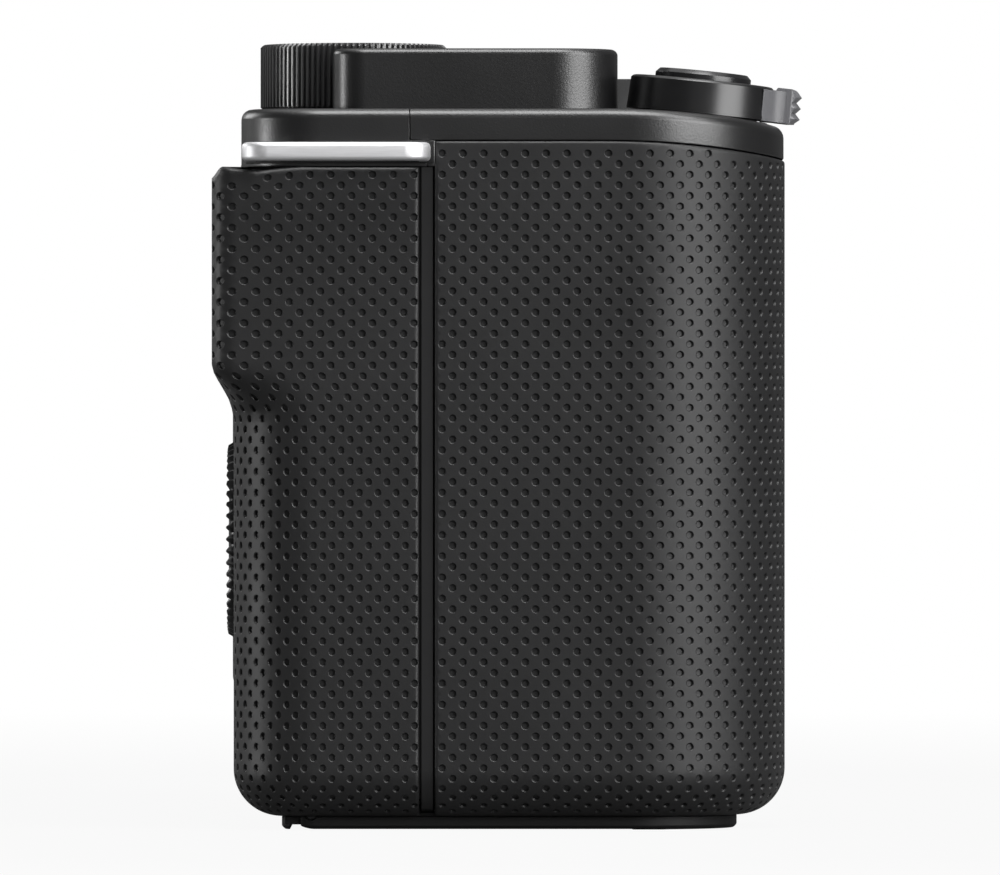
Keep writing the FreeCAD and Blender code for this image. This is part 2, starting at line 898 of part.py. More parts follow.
button_hole_radius = S.release_radius + 0.25
seat = tilted(
    fuse(
        rod("Z", 0, 0, -1.5, S.ring_radius - 0.2, 1.5),
        rod("Z", 0, 0, 0, S.collar_radius, S.ring_rise - 0.5),
    )
)
button_well = tilted(Piece("well").pad([circle(0, 0, button_hole_radius)], -0.4, 10).body)
lid = (
    Piece("lid")
    .pad([rim_profile(S.rim_base, S.rim_top, S.rim_seam - S.running)], -90, 90, "YZ")
    .body
)
lid_hollow = box(
    -S.deck_right + 4, S.deck_left - 4, -S.deck_front + 2.5, S.rim_seam - 2,
    S.rim_base - 1, S.rim_top - S.wall,
)
lid_plan = hull(S.side_inset, 0, S.deck_top, rear=S.rear_inset, name="lid_plan")
top_cover = cut(
    fuse(cut(common(lid, lid_plan), lid_hollow), seat),
    button_well, surround, throat_hole, name="top",
)
node(top_cover, "top_cover")

# Top deck: a thin-walled cap with a round bay for the dial and a pocket for the shoe
deck_plan = [
    (-S.deck_right, S.deck_rear, S.deck_rear_corner),
    (-S.deck_right, -S.deck_front, S.deck_front_corner),
    (S.deck_left, -S.deck_front, S.deck_front_corner),
    (S.deck_left, S.deck_rear, S.deck_rear_corner),
]
inner_deck = [
    (-S.deck_right + S.deck_wall, S.deck_rear - S.deck_wall, S.deck_rear_corner - S.deck_wall),
    (-S.deck_right + S.deck_wall, -S.deck_front + S.deck_wall, S.deck_front_corner - S.deck_wall),
    (S.deck_left - S.deck_wall, -S.deck_front + S.deck_wall, S.deck_front_corner - S.deck_wall),
    (S.deck_left - S.deck_wall, S.deck_rear - S.deck_wall, S.deck_rear_corner - S.deck_wall),
]
deck_block = (
    Piece("deck_block")
    .pad([deck_plan], S.rim_top, S.deck_top)
    .bevelled(S.deck_edge, level(S.deck_top))
    .body
)
deck_hollow = (
    Piece("deck_hollow").pad([inner_deck], S.rim_top - 1, S.deck_top - S.deck_wall).body
)
bay_radius = S.dial_radius + 0.45
bay_wall = common(
    deck_block, rod("Z", S.dial_x, S.dial_y, 50, bay_radius + S.deck_wall, 40)
)
shoe_right = S.shoe_x - S.shoe_half
shoe_left = S.shoe_x + S.shoe_half
shoe_front = -S.deck_front + 2.4
shoe_block = box(
    shoe_right - S.wall, shoe_left + S.wall, shoe_front - S.wall, S.deck_rear - 0.6,
    S.shoe_floor - S.wall, S.deck_top - 1,
)
shoe_pocket = box(
    shoe_right, shoe_left, shoe_front, S.deck_rear + 5, S.shoe_floor, S.deck_top + 5
)
grille_right = S.grille_x - S.grille_half
grille_left = S.grille_x + S.grille_half
grille_pocket = box(
    grille_right, grille_left, -S.grille_reach, S.grille_reach, S.deck_top - 0.9, S.deck_top + 5
)
grille_well = box(
    grille_right + 1, grille_left - 1, 1 - S.grille_reach, S.grille_reach - 1,
    S.deck_top - 3, S.deck_top,
)
record_hole = rod("Z", S.record_x, S.record_y, 60, S.record_radius + 0.2, 20)
custom_hole = rod("Z", S.custom_x, S.custom_y, 60, S.custom_radius + 0.2, 20)


def slider(x, y, half_x, half_y, travel_x, travel_y, label):
    """A sliding switch: its nub, and the recess and slot that it runs in."""
    reach_x = size(half_x) + travel_x + S.gap
    reach_y = size(half_y) + travel_y + S.gap
    floor = S.deck_top - 0.9
    recess_box = box(
        size(x) - reach_x, size(x) + reach_x, size(y) - reach_y, size(y) + reach_y,
        floor, S.deck_top + 5,
    )
    neck = 0.7
    slot_x = neck + size(travel_x) + S.gap
    slot_y = neck + size(travel_y) + S.gap
    slot_box = box(
        size(x) - slot_x, size(x) + slot_x, size(y) - slot_y, size(y) + slot_y,
        S.deck_top - 3, S.deck_top,
    )
    top = (
        Piece(label)
        .pad(
            [[
                (-size(half_x), -size(half_y), 0.5),
                (half_x, -size(half_y), 0.5),
                (half_x, half_y, 0.5),
                (-size(half_x), half_y, 0.5),
            ]],
            floor + 0.15, S.deck_top + 0.1,
        )
        .bevelled(0.25, level(S.deck_top + 0.1))
        .body
    )
    place(top, x, y, 0)
    stem = box(
        size(x) - neck, size(x) + neck, size(y) - neck, size(y) + neck,
        S.deck_top - 2.4, floor + 0.3,
    )
    return node(fuse(top, stem, name=label), label), [recess_box, slot_box]


power_switch, power_cuts = slider(
    S.power_x, S.power_y, 3.2, 1.6, S.power_travel / 2, 0, "power_switch"
)
mode_switch, mode_cuts = slider(
    S.mode_x, S.mode_y, 1.6, 3.2, 0, S.mode_travel, "mode_switch"
)
dial_bay = rod("Z", S.dial_x, S.dial_y, 50, bay_radius, 40)
top_deck = cut(
    fuse(cut(deck_block, deck_hollow), bay_wall, shoe_block),
    dial_bay, shoe_pocket, grille_pocket, grille_well, record_hole, custom_hole,
    *power_cuts, *mode_cuts, name="deck",
)
node(top_deck, "top_deck")

# Accessory shoe
shoe_base = S.shoe_floor + S.running
shoe_high = S.deck_top - 0.15
shoe_plate = box(
    shoe_right + S.running, shoe_left - S.running, shoe_front + S.running,
    S.deck_rear - 0.3, shoe_base, shoe_high,
)
slot_low = shoe_base + 0.6
slot_high = slot_low + S.shoe_slot
shoe_slot = box(
    S.shoe_x - S.shoe_inner, S.shoe_x + S.shoe_inner, shoe_front + 1.2, S.deck_rear + 1,
    slot_low, slot_high,
)
shoe_gate = box(
    S.shoe_x - S.shoe_lips, S.shoe_x + S.shoe_lips, shoe_front + 1.2, S.deck_rear + 1,
    slot_low, S.deck_top + 1,
)
hot_shoe = node(cut(shoe_plate, shoe_slot, shoe_gate, name="shoe"), "hot_shoe")

# Microphone grille, a plate with slots, over three capsules
grille_top = S.deck_top - 0.1
grille_low = S.deck_top - 0.9
slots = []
for index in range(7):
    slots.append(
        box(
            grille_right + 2 + index * 3.0, grille_right + 3.2 + index * 3.0,
            1.6 - S.grille_reach, S.grille_reach - 1.6, grille_low - 1, grille_top + 1, "slot",
        )
    )
grille_plate = box(
    grille_right + S.running, grille_left - S.running, S.running - S.grille_reach,
    S.grille_reach - S.running, grille_low, grille_top,
)
mic_grille = node(cut(grille_plate, *slots, name="grille"), "mic_grille")
capsules = [
    stud("Z", S.grille_x + dx, dy, S.rim_top, 2.9, S.deck_top - S.rim_top - 1.2, "capsule")
    for dx, dy in ((-6.8, 2.5), (0, -3.2), (6.8, 2.5))
]
mic_capsules = node(group(*capsules), "mic_capsules")

# Control dial on its shaft
dial_low = S.rim_top + S.gap
dial_high = dial_low + S.dial_rise


def notched(name, radius, depth, count, low, high, bevel, crown):
    """A disc with V notches all round below its plain crown, about its own Z axis."""
    half = radius * math.pi / size(count)
    return (
        Piece(name)
        .pad([circle(0, 0, radius)], low, high)
        .bevelled(bevel, level(high))
        .pocket(
            [[(radius - depth, 0), (radius + depth, -half * 1.6), (radius + depth, half * 1.6)]],
            low - 1, size(high) - crown,
        )
        .around(count)
    )


dial_disc = notched(
    "dial", S.dial_radius, S.notch_depth, S.dial_notches, 0, S.dial_rise, 0.4, 0.8
)
dial_disc.pocket([circle(0, 0, S.dial_bore + S.running)], -1, S.dial_rise - 1.2)
control_dial = node(place(dial_disc.body, S.dial_x, S.dial_y, dial_low), "control_dial")
dial_shaft = rod(
    "Z", S.dial_x, S.dial_y, S.rim_top - 3.5, S.dial_bore, dial_high - S.rim_top + 3.5 - 1.5
)
node(dial_shaft, "dial_shaft")

# Zoom lever: a ring with a ridged tab in front, on its tilted seat
lever_ring = (
    Piece("lever_ring")
    .pad([circle(0, 0, S.ring_radius)], S.gap, S.ring_rise)
    .bevelled(0.3, level(S.ring_rise))
    .body
)
tab_side = [
    (-S.ring_radius + 0.8, S.gap + 0.1),
    (-S.tab_reach + 1.3, S.gap + 0.1),
    (-S.tab_reach, S.gap - 0.4),
    (-S.tab_reach + 0.5, S.gap + 0.5),
    (-S.tab_reach, S.gap + 1.1),
    (-S.tab_reach + 0.5, S.gap + 1.7),
    (-S.tab_reach, S.gap + 2.3),
    (-S.tab_reach + 0.5, S.gap + 2.9),
    (-S.tab_reach, S.ring_rise + 0.3),
    (-S.tab_reach + 1.3, S.ring_rise + 0.1),
    (-S.tab_reach + 1.5, S.ring_rise - 0.35),
    (-S.ring_radius + 0.8, S.ring_rise - 0.35),
]
tab = Piece("tab").pad([tab_side], -S.tab_width / 2, S.tab_width / 2, "YZ").body
lever_bore = rod("Z", 0, 0, -1, S.collar_radius + 0.08, 10)
zoom_lever = tilted(cut(fuse(lever_ring, tab), lever_bore, name="lever"))
node(zoom_lever, "zoom_lever")
shutter_button = (
    Piece("shutter_button")
    .pad([circle(0, 0, S.release_radius)], 0.4, S.release_rise)
    .bevelled(0.35, level(S.release_rise))
    .body
)
node(tilted(shutter_button), "shutter_button")


def deck_button(x, y, radius, label):
    """A round push button that stands a touch above the deck."""
    cap = (
        Piece(label)
        .pad([circle(0, 0, radius)], S.deck_top - 3.2, S.deck_top + 0.1)
        .bevelled(0.2, level(S.deck_top + 0.1))
        .body
    )
    return node(place(cap, x, y, 0), label)


deck_button(S.record_x, S.record_y, S.record_radius, "record_button")
deck_button(S.custom_x, S.custom_y, S.custom_radius, "custom_button")

# Base plate with the tripod socket, the battery door and its pin
plate_outline = hull_plan(base_inset)
bolt_places = [(-30, -6.5), (-30, 16), (18, -6.5), (38, -4), (38, 14), (16, 16)]
bolt_wells = [
    stud("Z", x, y, -1, S.bolt_radius + 0.1, 1 + S.bolt_high + 0.05, "bolt_well")
    for x, y in bolt_places
]
door_lugs = []
for x in (-S.door_right, -S.door_left - S.door_lug):
    door_lugs.append(
        box(
            x, x + S.door_lug,
            S.door_axis_y - S.door_lug_half, S.door_axis_y + S.door_lug_half,
            S.door_axis_z - S.door_lug_half, S.door_axis_z + S.door_lug_half,
            "door_lug",
        )
    )
    door_lugs.append(
        box(x, x + S.door_lug, S.door_axis_y, hole_rear + 0.5, 0.45, belly)
    )
door_bore = stud(
    "X", -S.door_right - 1, S.door_axis_y, S.door_axis_z, S.pin_radius + S.running,
    S.door_wide + 2, "door_bore",
)
base_plate = cut(
    fuse(
        cut(
            Piece("base").pad([plate_outline], 0, belly).bevelled(0.3, level(0)).body,
            door_hole, tripod_hole, *bolt_wells,
        ),
        *door_lugs,
    ),
    door_bore,
    name="base",
)
node(base_plate, "base_plate")
bolt_heads = [
    stud("Z", x, y, S.bolt_low, S.bolt_radius, S.bolt_high - S.bolt_low, "bolt_head")
    for x, y in bolt_places
]
base_screws = node(group(*bolt_heads), "base_screws")
tripod_socket = cut(
    rod("Z", 0, 0, 0, S.tripod_outer - S.running, S.tripod_depth + 1),
    rod("Z", 0, 0, -1, S.tripod_radius, S.tripod_depth + 1),
    name="tripod",
)
node(tripod_socket, "tripod_socket")

door_plate = (
    Piece("door_plate").pad([door_outline], 0.1, S.door_thick).bevelled(0.25, level(0.1)).body
)
knuckle_right = -S.door_right + S.door_lug + S.gap
knuckle_long = S.door_right - S.door_left - 2 * S.door_lug - 2 * S.gap
door_knuckles = [
    rod(
        "X", knuckle_right, S.door_axis_y, S.door_axis_z, S.door_barrel, knuckle_long,
        "door_knuckle",
    ),
    box(
        knuckle_right, knuckle_right + knuckle_long, door_rear - 0.4, S.door_axis_y, 0.45,
        S.door_thick,
    ),
]
latch_y = -S.door_front + 4.0
latch_x = -(S.door_right + S.door_left) / 2
latch_hole = box(
    latch_x - S.latch_half - S.gap, latch_x + S.latch_half + S.latch_travel + S.gap,
    latch_y - 2.0, latch_y + 2.0, -1, 0.9,
)
latch_slot = box(
    latch_x - 2.0 - S.gap, latch_x + 2.0 + S.latch_travel + S.gap,
    latch_y - 0.9, latch_y + 0.9, 0, 4,
)
battery_door = cut(
    fuse(door_plate, *door_knuckles), door_bore, latch_hole, latch_slot, name="door"
)
node(battery_door, "battery_door")
latch_nub = box(
    latch_x - S.latch_half, latch_x + S.latch_half, latch_y - 1.7, latch_y + 1.7, 0.15, 0.7
)
latch_stem = box(latch_x - 2, latch_x + 2, latch_y - 0.6, latch_y + 0.6, 0.5, 2.2)
battery_latch = node(fuse(latch_nub, latch_stem, name="latch"), "battery_latch")
battery_door_pin = stud(
    "X", -S.door_right + 0.2, S.door_axis_y, S.door_axis_z, S.pin_radius,
    S.door_right - S.door_left - 0.4, "door_pin",
)
node(battery_door_pin, "battery_door_pin")
battery_right = -S.door_right + 1.1
battery_front = -S.door_front + 1.4
battery = (
    Piece("battery")
    .pad(
        [[
            (battery_right, battery_front, 2.5),
            (battery_right + S.battery_wide, battery_front, 1),
            (battery_right + S.battery_wide, battery_front + S.battery_long, 1),
            (battery_right, battery_front + S.battery_long, 1),
        ]],
        S.battery_low, S.battery_low + S.battery_tall,
    )
    .body
)
node(battery, "battery")

# Lens mount: a ring with three claws, drawn from the front


def claw(start):
    """One inward claw, as a sector between two radii."""
    arc = named("Part::Cylinder", "claw")
    bind(arc, Radius=S.throat + 0.5, Height=S.claw_thick, Angle=S.claw_angle)
    arc.Placement = FreeCAD.Placement(V(), TURNS["Y"] * FreeCAD.Rotation(V(0, 0, 1), start))
    place(arc, 0, -S.flange_front, S.mount_z)
    return cut(arc, rod("Y", 0, -S.flange_front - 1, S.mount_z, S.claw_inner, 10))


screw_turns = (45, 135, 225, 315)
screw_places = [
    (
        S.screw_circle * math.cos(math.radians(a)),
        S.mount_z + S.screw_circle * math.sin(math.radians(a)),
    )
    for a in screw_turns
]
ring_back = S.flange_front - front_back
ring_blank = cut(
    rod("Y", 0, -S.flange_front, S.mount_z, S.ring_outer, ring_back),
    rod("Y", 0, -S.flange_front - 1, S.mount_z, S.throat, 20),
)
mount_screw_holes = []
mount_screws = []
for x, z in screw_places:
    mount_screw_holes.append(stud("Y", x, -S.flange_front - 1, z, 1.85, 2.2))
    mount_screws.append(stud("Y", x, -S.flange_front + 0.15, z, 1.75, 1.0))
lock_hole = rod("Y", pin_x, -S.flange_front - 1, pin_z, S.lock_pin_radius + 0.15, 20)
lens_mount_ring = cut(
    fuse(ring_blank, claw(12), claw(132), claw(252)), lock_hole, *mount_screw_holes, name="mount"
)
node(lens_mount_ring, "lens_mount_ring")
node(group(*mount_screws), "mount_screws")
pin_back = front_back - 0.4
lens_lock_pin = rod(
    "Y", pin_x, -S.flange_front - S.lock_rise, pin_z, S.lock_pin_radius,
    S.flange_front + S.lock_rise - pin_back,
)
node(lens_lock_pin, "lens_lock_pin")
lens_release_button = (
    Piece("release")
    .pad(
        [circle(release_x, release_z, S.release_lens_radius)],
        front_back - 2.2, S.release_front, "XZ",
    )
    .bevelled(0.4, facing(S.release_front))
    .body
)
node(lens_release_button, "lens_release_button")
contact_sector = named("Part::Cylinder", "contact_sector")
bind(contact_sector, Radius=S.throat - 0.15, Height=1.8, Angle=56)
contact_sector.Placement = FreeCAD.Placement(
    V(), TURNS["Y"] * FreeCAD.Rotation(V(0, 0, 1), 242)
)
place(contact_sector, 0, -front_back + 0.6, S.mount_z)
contact_block = cut(contact_sector, rod("Y", 0, -40, S.mount_z, S.throat - 2.9, 60))
contact_pins = []
for a in range(68, 113, 5):
    pin_at_x = (S.throat - 1.5) * math.cos(math.radians(a))
    pin_at_z = S.mount_z + (S.throat - 1.5) * math.sin(math.radians(a))
    contact_pins.append(
        box(
            pin_at_x - 0.4, pin_at_x + 0.4, 0.2 - front_back, 0.8 - front_back,
            pin_at_z - 0.4, pin_at_z + 0.4,
        )
    )
mount_contacts = node(fuse(contact_block, *contact_pins, name="contacts"), "mount_contacts")

# Inner frame, sensor and its shifting stages
frame_front = front_back - S.skin - S.wall - 0.2
frame_wall = 1.5
frame_rear = S.flange_to_sensor - S.flange_front + 7.0
chassis_frame = cut(
    box(-S.frame_half, S.frame_half, -frame_front, frame_rear, S.frame_low, S.frame_high),
    box(
        frame_wall - S.frame_half, S.frame_half - frame_wall, frame_wall - frame_front,
        frame_rear + 1, S.frame_low + frame_wall, S.frame_high + 1,
    ),
    rod("Y", 0, -30, S.mount_z, S.throat + 0.8, 30),
    tripod_hole, rod("Y", pin_x, -30, pin_z, S.lock_pin_radius + 0.15, 25),
    name="chassis",
)
node(chassis_frame, "chassis_frame")
sensor_face = S.flange_to_sensor - S.flange_front
glass_half = S.sensor_half - S.sensor_rim
glass_tall = S.sensor_tall - S.sensor_rim
sensor_glass = box(
    -glass_half, glass_half, sensor_face - S.sensor_glass, sensor_face,
    S.mount_z - glass_tall, S.mount_z + glass_tall,
)
sensor_package = box(
    -S.sensor_half, S.sensor_half, sensor_face, sensor_face + S.sensor_thick,
    S.mount_z - S.sensor_tall, S.mount_z + S.sensor_tall,
)
image_sensor = node(fuse(sensor_glass, sensor_package, name="sensor"), "image_sensor")


def window(half, tall, corner=None):
    """A rectangle about the lens axis."""
    ends = [(-half, -tall), (half, -tall), (half, tall), (-half, tall)]
    return [
        (x, S.mount_z + z) if corner is None else (x, S.mount_z + z, corner) for x, z in ends
    ]


def sheet(name, loops, front, thick):
    """A plate that faces the lens, with the openings of its further outlines."""
    return Piece(name).pad(loops, -(front + thick), -front, "XZ").body


carrier_half = S.sensor_half + S.carrier_margin
carrier_tall = S.sensor_tall + S.carrier_margin
carrier_front = sensor_face + S.sensor_thick
sensor_carrier = sheet(
    "carrier", [window(carrier_half, carrier_tall, S.guide_corner)], carrier_front, S.carrier_thick
)
node(sensor_carrier, "sensor_carrier")
guide_half = carrier_half + S.guide_margin
guide_tall = carrier_tall + S.guide_margin
guide_front = carrier_front + S.carrier_thick + S.gap
guide_loops = [
    window(guide_half, guide_tall, S.guide_corner),
    window(guide_half - S.guide_rail, guide_tall - S.guide_rail, S.guide_corner),
]
sensor_guide = sheet("guide", guide_loops, guide_front, S.guide_thick)
node(sensor_guide, "sensor_guide")
yoke_front = guide_front + S.guide_thick + S.gap
yoke_half = S.frame_half - frame_wall - S.running
yoke_low = S.frame_low + frame_wall + S.running
yoke_loops = [
    [
        (-yoke_half, yoke_low), (yoke_half, yoke_low),
        (yoke_half, S.frame_high), (-yoke_half, S.frame_high),
    ],
    window(guide_half - S.yoke_rail, guide_tall - S.yoke_rail, S.guide_corner),
]
stabiliser_frame = sheet("yoke", yoke_loops, yoke_front, S.yoke_thick)
node(stabiliser_frame, "stabiliser_frame")
heat_front = yoke_front + S.yoke_thick + S.heat_gap
heat_plate = box(
    S.heat_margin - S.frame_half, S.frame_half - S.heat_margin,
    heat_front, heat_front + S.heat_thick,
    S.frame_low + S.heat_margin, S.frame_high - S.heat_margin,
)
node(heat_plate, "heat_plate")
board_low = heat_front + S.heat_thick + S.heat_gap
board = box(
    -S.board_half, S.board_half, board_low, board_low + S.board_thick,
    S.frame_low + S.heat_gap, S.frame_high,
)
chip_face = board_low + S.board_thick
chips = [
    box(
        S.chip * x, S.chip * (x + wide), chip_face, chip_face + S.chip_tall,
        S.chip * z, S.chip * (z + high), "chip",
    )
    for x, wide, z, high in (
        (-2.8, 3, 6, 3), (1.2, 2, 6.8, 2), (-6, 1.8, 4.4, 2.4), (4.4, 1.6, 2.8, 2.4)
    )
]
main_board = node(fuse(board, *chips, name="board"), "main_board")

# Screen: hinge plate, housing, glass and two hinge lines
back_gap = recess_floor + S.gap
plate_face = back_gap + S.plate_thick
arm_half = 0.7
sheet_left = -S.screen_right + 3
sheet_right = S.screen_left - 3
sheet_low = S.screen_low + 0.6
sheet_high = S.screen_high - 0.4
sheet_rail = S.screen_margin * 9
plate_sheet = (
    Piece("plate_sheet")
    .pad(
        [
            [
                (sheet_left, sheet_low, 2), (sheet_right, sheet_low, 2),
                (sheet_right, sheet_high, 2), (sheet_left, sheet_high, 2),
            ],
            [
                (sheet_left + sheet_rail, sheet_low + sheet_rail, 2),
                (sheet_right - sheet_rail, sheet_low + sheet_rail, 2),
                (sheet_right - sheet_rail, sheet_high - sheet_rail, 2),
                (sheet_left + sheet_rail, sheet_high - sheet_rail, 2),
            ],
        ],
        -plate_face, -back_gap, "XZ",
    )
    .body
)
half_knuckle = S.knuckle / 2
plate_arms = []
for x in stations:
    for axis_z, sheet_z, sign in (
        (S.upper_axis_z, S.screen_high - 3, 1),
        (S.lower_axis_z, S.screen_low + 3, -1),
    ):
        low, high = (sheet_z, axis_z + arm_half) if sign > 0 else (axis_z - arm_half, sheet_z)
        plate_arms.append(box(x - half_knuckle, x + half_knuckle, back_gap, plate_face, low, high))
        plate_arms.append(
            box(
                x - half_knuckle, x + half_knuckle, back_gap, S.axis_y,
                axis_z - arm_half, axis_z + arm_half,
            )
        )
        plate_arms.append(barrel(x - half_knuckle, x + half_knuckle, S.axis_y, axis_z))
screen_plate = cut(
    fuse(plate_sheet, *plate_arms),
    *hinge_bores(S.upper_axis_z), *hinge_bores(S.lower_axis_z), name="screen_plate",
)
node(screen_plate, "screen_plate")
housing_front = plate_face + S.gap
glass_deep = 0.9
housing_block = (
    Piece("housing")
    .pad(
        [[
            (-S.screen_right, S.screen_low, 2), (S.screen_left, S.screen_low, 2),
            (S.screen_left, S.screen_high, 2), (-S.screen_right, S.screen_high, 2),
        ]],
        -S.screen_back, -housing_front, "XZ",
    )
    .bevelled(0.6, facing(-S.screen_back))
    .body
)
glass_inset = 1.2
glass_left = -S.screen_right + glass_inset
glass_right = S.screen_left - glass_inset
glass_low = S.screen_low + glass_inset
glass_high = S.screen_high - glass_inset
glass_outline = [
    (glass_left, glass_low, glass_inset), (glass_right, glass_low, glass_inset),
    (glass_right, glass_high, glass_inset), (glass_left, glass_high, glass_inset),
]
glass_back = -S.screen_back + glass_deep
glass_well = Piece("glass_well").pad([glass_outline], -S.screen_back - 1, glass_back, "XZ").body
screen_glass = (
    Piece("glass").pad([glass_outline], -S.screen_back + 0.1, glass_back, "XZ").body
)
node(screen_glass, "screen_glass")
lower_lugs = []
for x in stations:
    for x0, x1 in beside(x):
        lower_lugs.append(square_lug(x0, x1, S.axis_y, S.lower_axis_z))
        lower_lugs.append(
            box(x0, x1, S.axis_y - 0.8, S.axis_y + 0.8, S.lower_axis_z, S.screen_low + 0.5)
        )
screen_housing = cut(
    fuse(cut(housing_block, glass_well), *lower_lugs), *hinge_bores(S.lower_axis_z), name="screen"
)
node(screen_housing, "screen_housing")
upper_hinge_pins = hinge_pins(S.upper_axis_z, "upper_hinge_pins")
lower_hinge_pins = hinge_pins(S.lower_axis_z, "lower_hinge_pins")

# Rear wheel, its centre button and the four rear buttons
wheel_disc = notched("wheel", S.wheel_radius, 0.45, S.wheel_notches, 0, S.wheel_thick, 0.4, 0.7)
wheel_disc.pocket([circle(0, 0, S.hub_radius + S.running)], -1, S.wheel_thick + 1)
control_wheel = wheel_disc.body
control_wheel.Placement = FreeCAD.Placement(V(), TURNS["Y"])
place(control_wheel, S.wheel_x, S.wheel_back - S.wheel_thick, S.wheel_z)
node(control_wheel, "control_wheel")


def rear_button(x, z, radius, low, high, label):
    """A round button on the rear, with a bevelled edge."""
    cap = (
        Piece(label)
        .pad([circle(0, 0, radius)], 0, size(high) - low)
        .bevelled(0.25, level(size(high) - low))
        .body
    )
    cap.Placement = FreeCAD.Placement(V(), TURNS["Y"])
    return node(place(cap, x, low, z), label)


rear_button(
    S.wheel_x, S.wheel_z, S.centre_radius, S.panel_front + 0.7, S.wheel_back - 0.4, "centre_button"
)
for label, (x, z) in REAR_BUTTONS.items():
    rear_button(x, z, S.small_button, S.panel_front + 0.7, rear_plane + 0.6, label)


def side_door(low, high, label):
    """A door of the far side, hinged on a pin along its rear edge."""
    outer_face = S.far_side - S.side_inset - 0.1
    inner = side_axis_x - 0.3
    rear_edge = S.side_axis_y - 1.3
    block = (
        Piece(label)
        .pad(
            [[
                (inner, -S.side_door_front), (outer_face, -S.side_door_front, 0.4),
                (outer_face, rear_edge, 0.4), (inner, rear_edge),
            ]],
            low, high,
        )
        .body
    )
    lug_top = high - S.side_lug - 0.2
    lug_low = low + S.side_lug + 0.2
    knuckle = rod(
        "Z", side_axis_x, S.side_axis_y, lug_low, S.side_barrel, lug_top - lug_low, "side_knuckle"
    )
    web = box(side_axis_x - 0.3, side_axis_x + 0.6, rear_edge - 0.5, S.side_axis_y, lug_low, lug_top)
    return node(cut(fuse(block, knuckle, web), side_bore, name=label), label)


side_door(S.port_low, S.port_high, "port_door")
side_door(S.charge_low, S.charge_high, "charge_door")
side_pins = [
    stud("Z", side_axis_x, S.side_axis_y, low, S.side_pin, high - low, "side_pin")
    for low, high in side_spans
]
node(group(*side_pins), "side_door_pins")

# What lies behind the two doors
socket_outer = S.far_side - 4.4
socket_block = box(
    S.board_half + S.gap, socket_outer, 2 - S.side_door_front, 10.0,
    S.charge_low + 1, S.port_high - 1,
)
socket_cuts = [
    stud("X", socket_outer - 3, 4.4, S.port_high - 5, S.jack_radius, 5, "jack"),
    stud("X", socket_outer - 3, 4.4, S.port_high - 11, S.jack_radius, 5, "jack"),
    box(socket_outer - 3, socket_outer + 1, 0.4, 7.0, S.charge_high - 9, S.charge_high - 6, "port"),
    box(socket_outer - 3, socket_outer + 1, 0.0, 9.0, S.charge_low + 5, S.charge_low + 8.2, "port"),
]
jack_sockets = node(cut(socket_block, *socket_cuts, name="jacks"), "jack_sockets")
card_tip = S.far_side - 5
card_back = board_low + 3.0
card_low = S.charge_low + 0.5
memory_card = (
    Piece("memory_card")
    .pad(
        [[
            (card_tip, card_low), (card_tip, card_low + S.card_wide - 4),
            (card_tip - 4, card_low + S.card_wide),
            (card_tip - S.card_tall, card_low + S.card_wide),
            (card_tip - S.card_tall, card_low),
        ]],
        -card_back - S.card_thick, -card_back, "XZ",
    )
    .body
)
node(memory_card, "memory_card")
card_slot = cut(
    box(
        card_tip - S.card_tall - 0.8, card_tip - 5, card_back - 0.5,
        card_back + S.card_thick + 0.5, card_low - 0.6, card_low + S.card_wide + 0.6, "slot_case",
    ),
    box(
        card_tip - S.card_tall - 0.1, card_tip, card_back - 0.1,
        card_back + S.card_thick + 0.1, card_low - 0.1, card_low + S.card_wide + 0.1, "slot_room",
    ),
    name="card_slot",
)
node(card_slot, "card_slot")


def finish():
    """Checks every object of the document and writes the sub-parts."""
    doc.recompute()
    for thing in doc.Objects:
        if "Invalid" in thing.State or "Error" in thing.State:
            raise RuntimeError(f"{thing.Name} ({thing.Label}) failed: {thing.State}")
    os.makedirs("parts", exist_ok=True)
    for shape in NODES:
        if shape.Shape.isNull() or not shape.Shape.isValid():
            raise RuntimeError(f"{shape.Label} has no valid shape")
        shape.Shape.exportStep(f"parts/{shape.Label}.step")
        print(shape.Label, len(shape.Shape.Solids), round(shape.Shape.Volume, 1))


finish()
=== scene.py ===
"""The looks of a compact mirrorless camera body, built round its CAD model."""

import json
import math

import bmesh
import bpy
import numpy as np
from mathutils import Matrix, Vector


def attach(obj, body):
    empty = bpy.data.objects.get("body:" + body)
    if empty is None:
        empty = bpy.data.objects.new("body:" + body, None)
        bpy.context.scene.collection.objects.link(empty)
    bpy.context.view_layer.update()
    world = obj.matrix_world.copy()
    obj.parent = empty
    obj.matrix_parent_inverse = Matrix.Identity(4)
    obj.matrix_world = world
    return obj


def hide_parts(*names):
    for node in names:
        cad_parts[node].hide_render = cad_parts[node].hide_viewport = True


bl_info = {
    "name": "Mirrorless Camera Body",
    "version": (1, 0, 0),
    "blender": (4, 5, 0),
    "location": "3D View > Sidebar > Camera Body",
    "description": "Leather, controls and finishes of a compact mirrorless camera",
    "category": "Add Mesh",
}

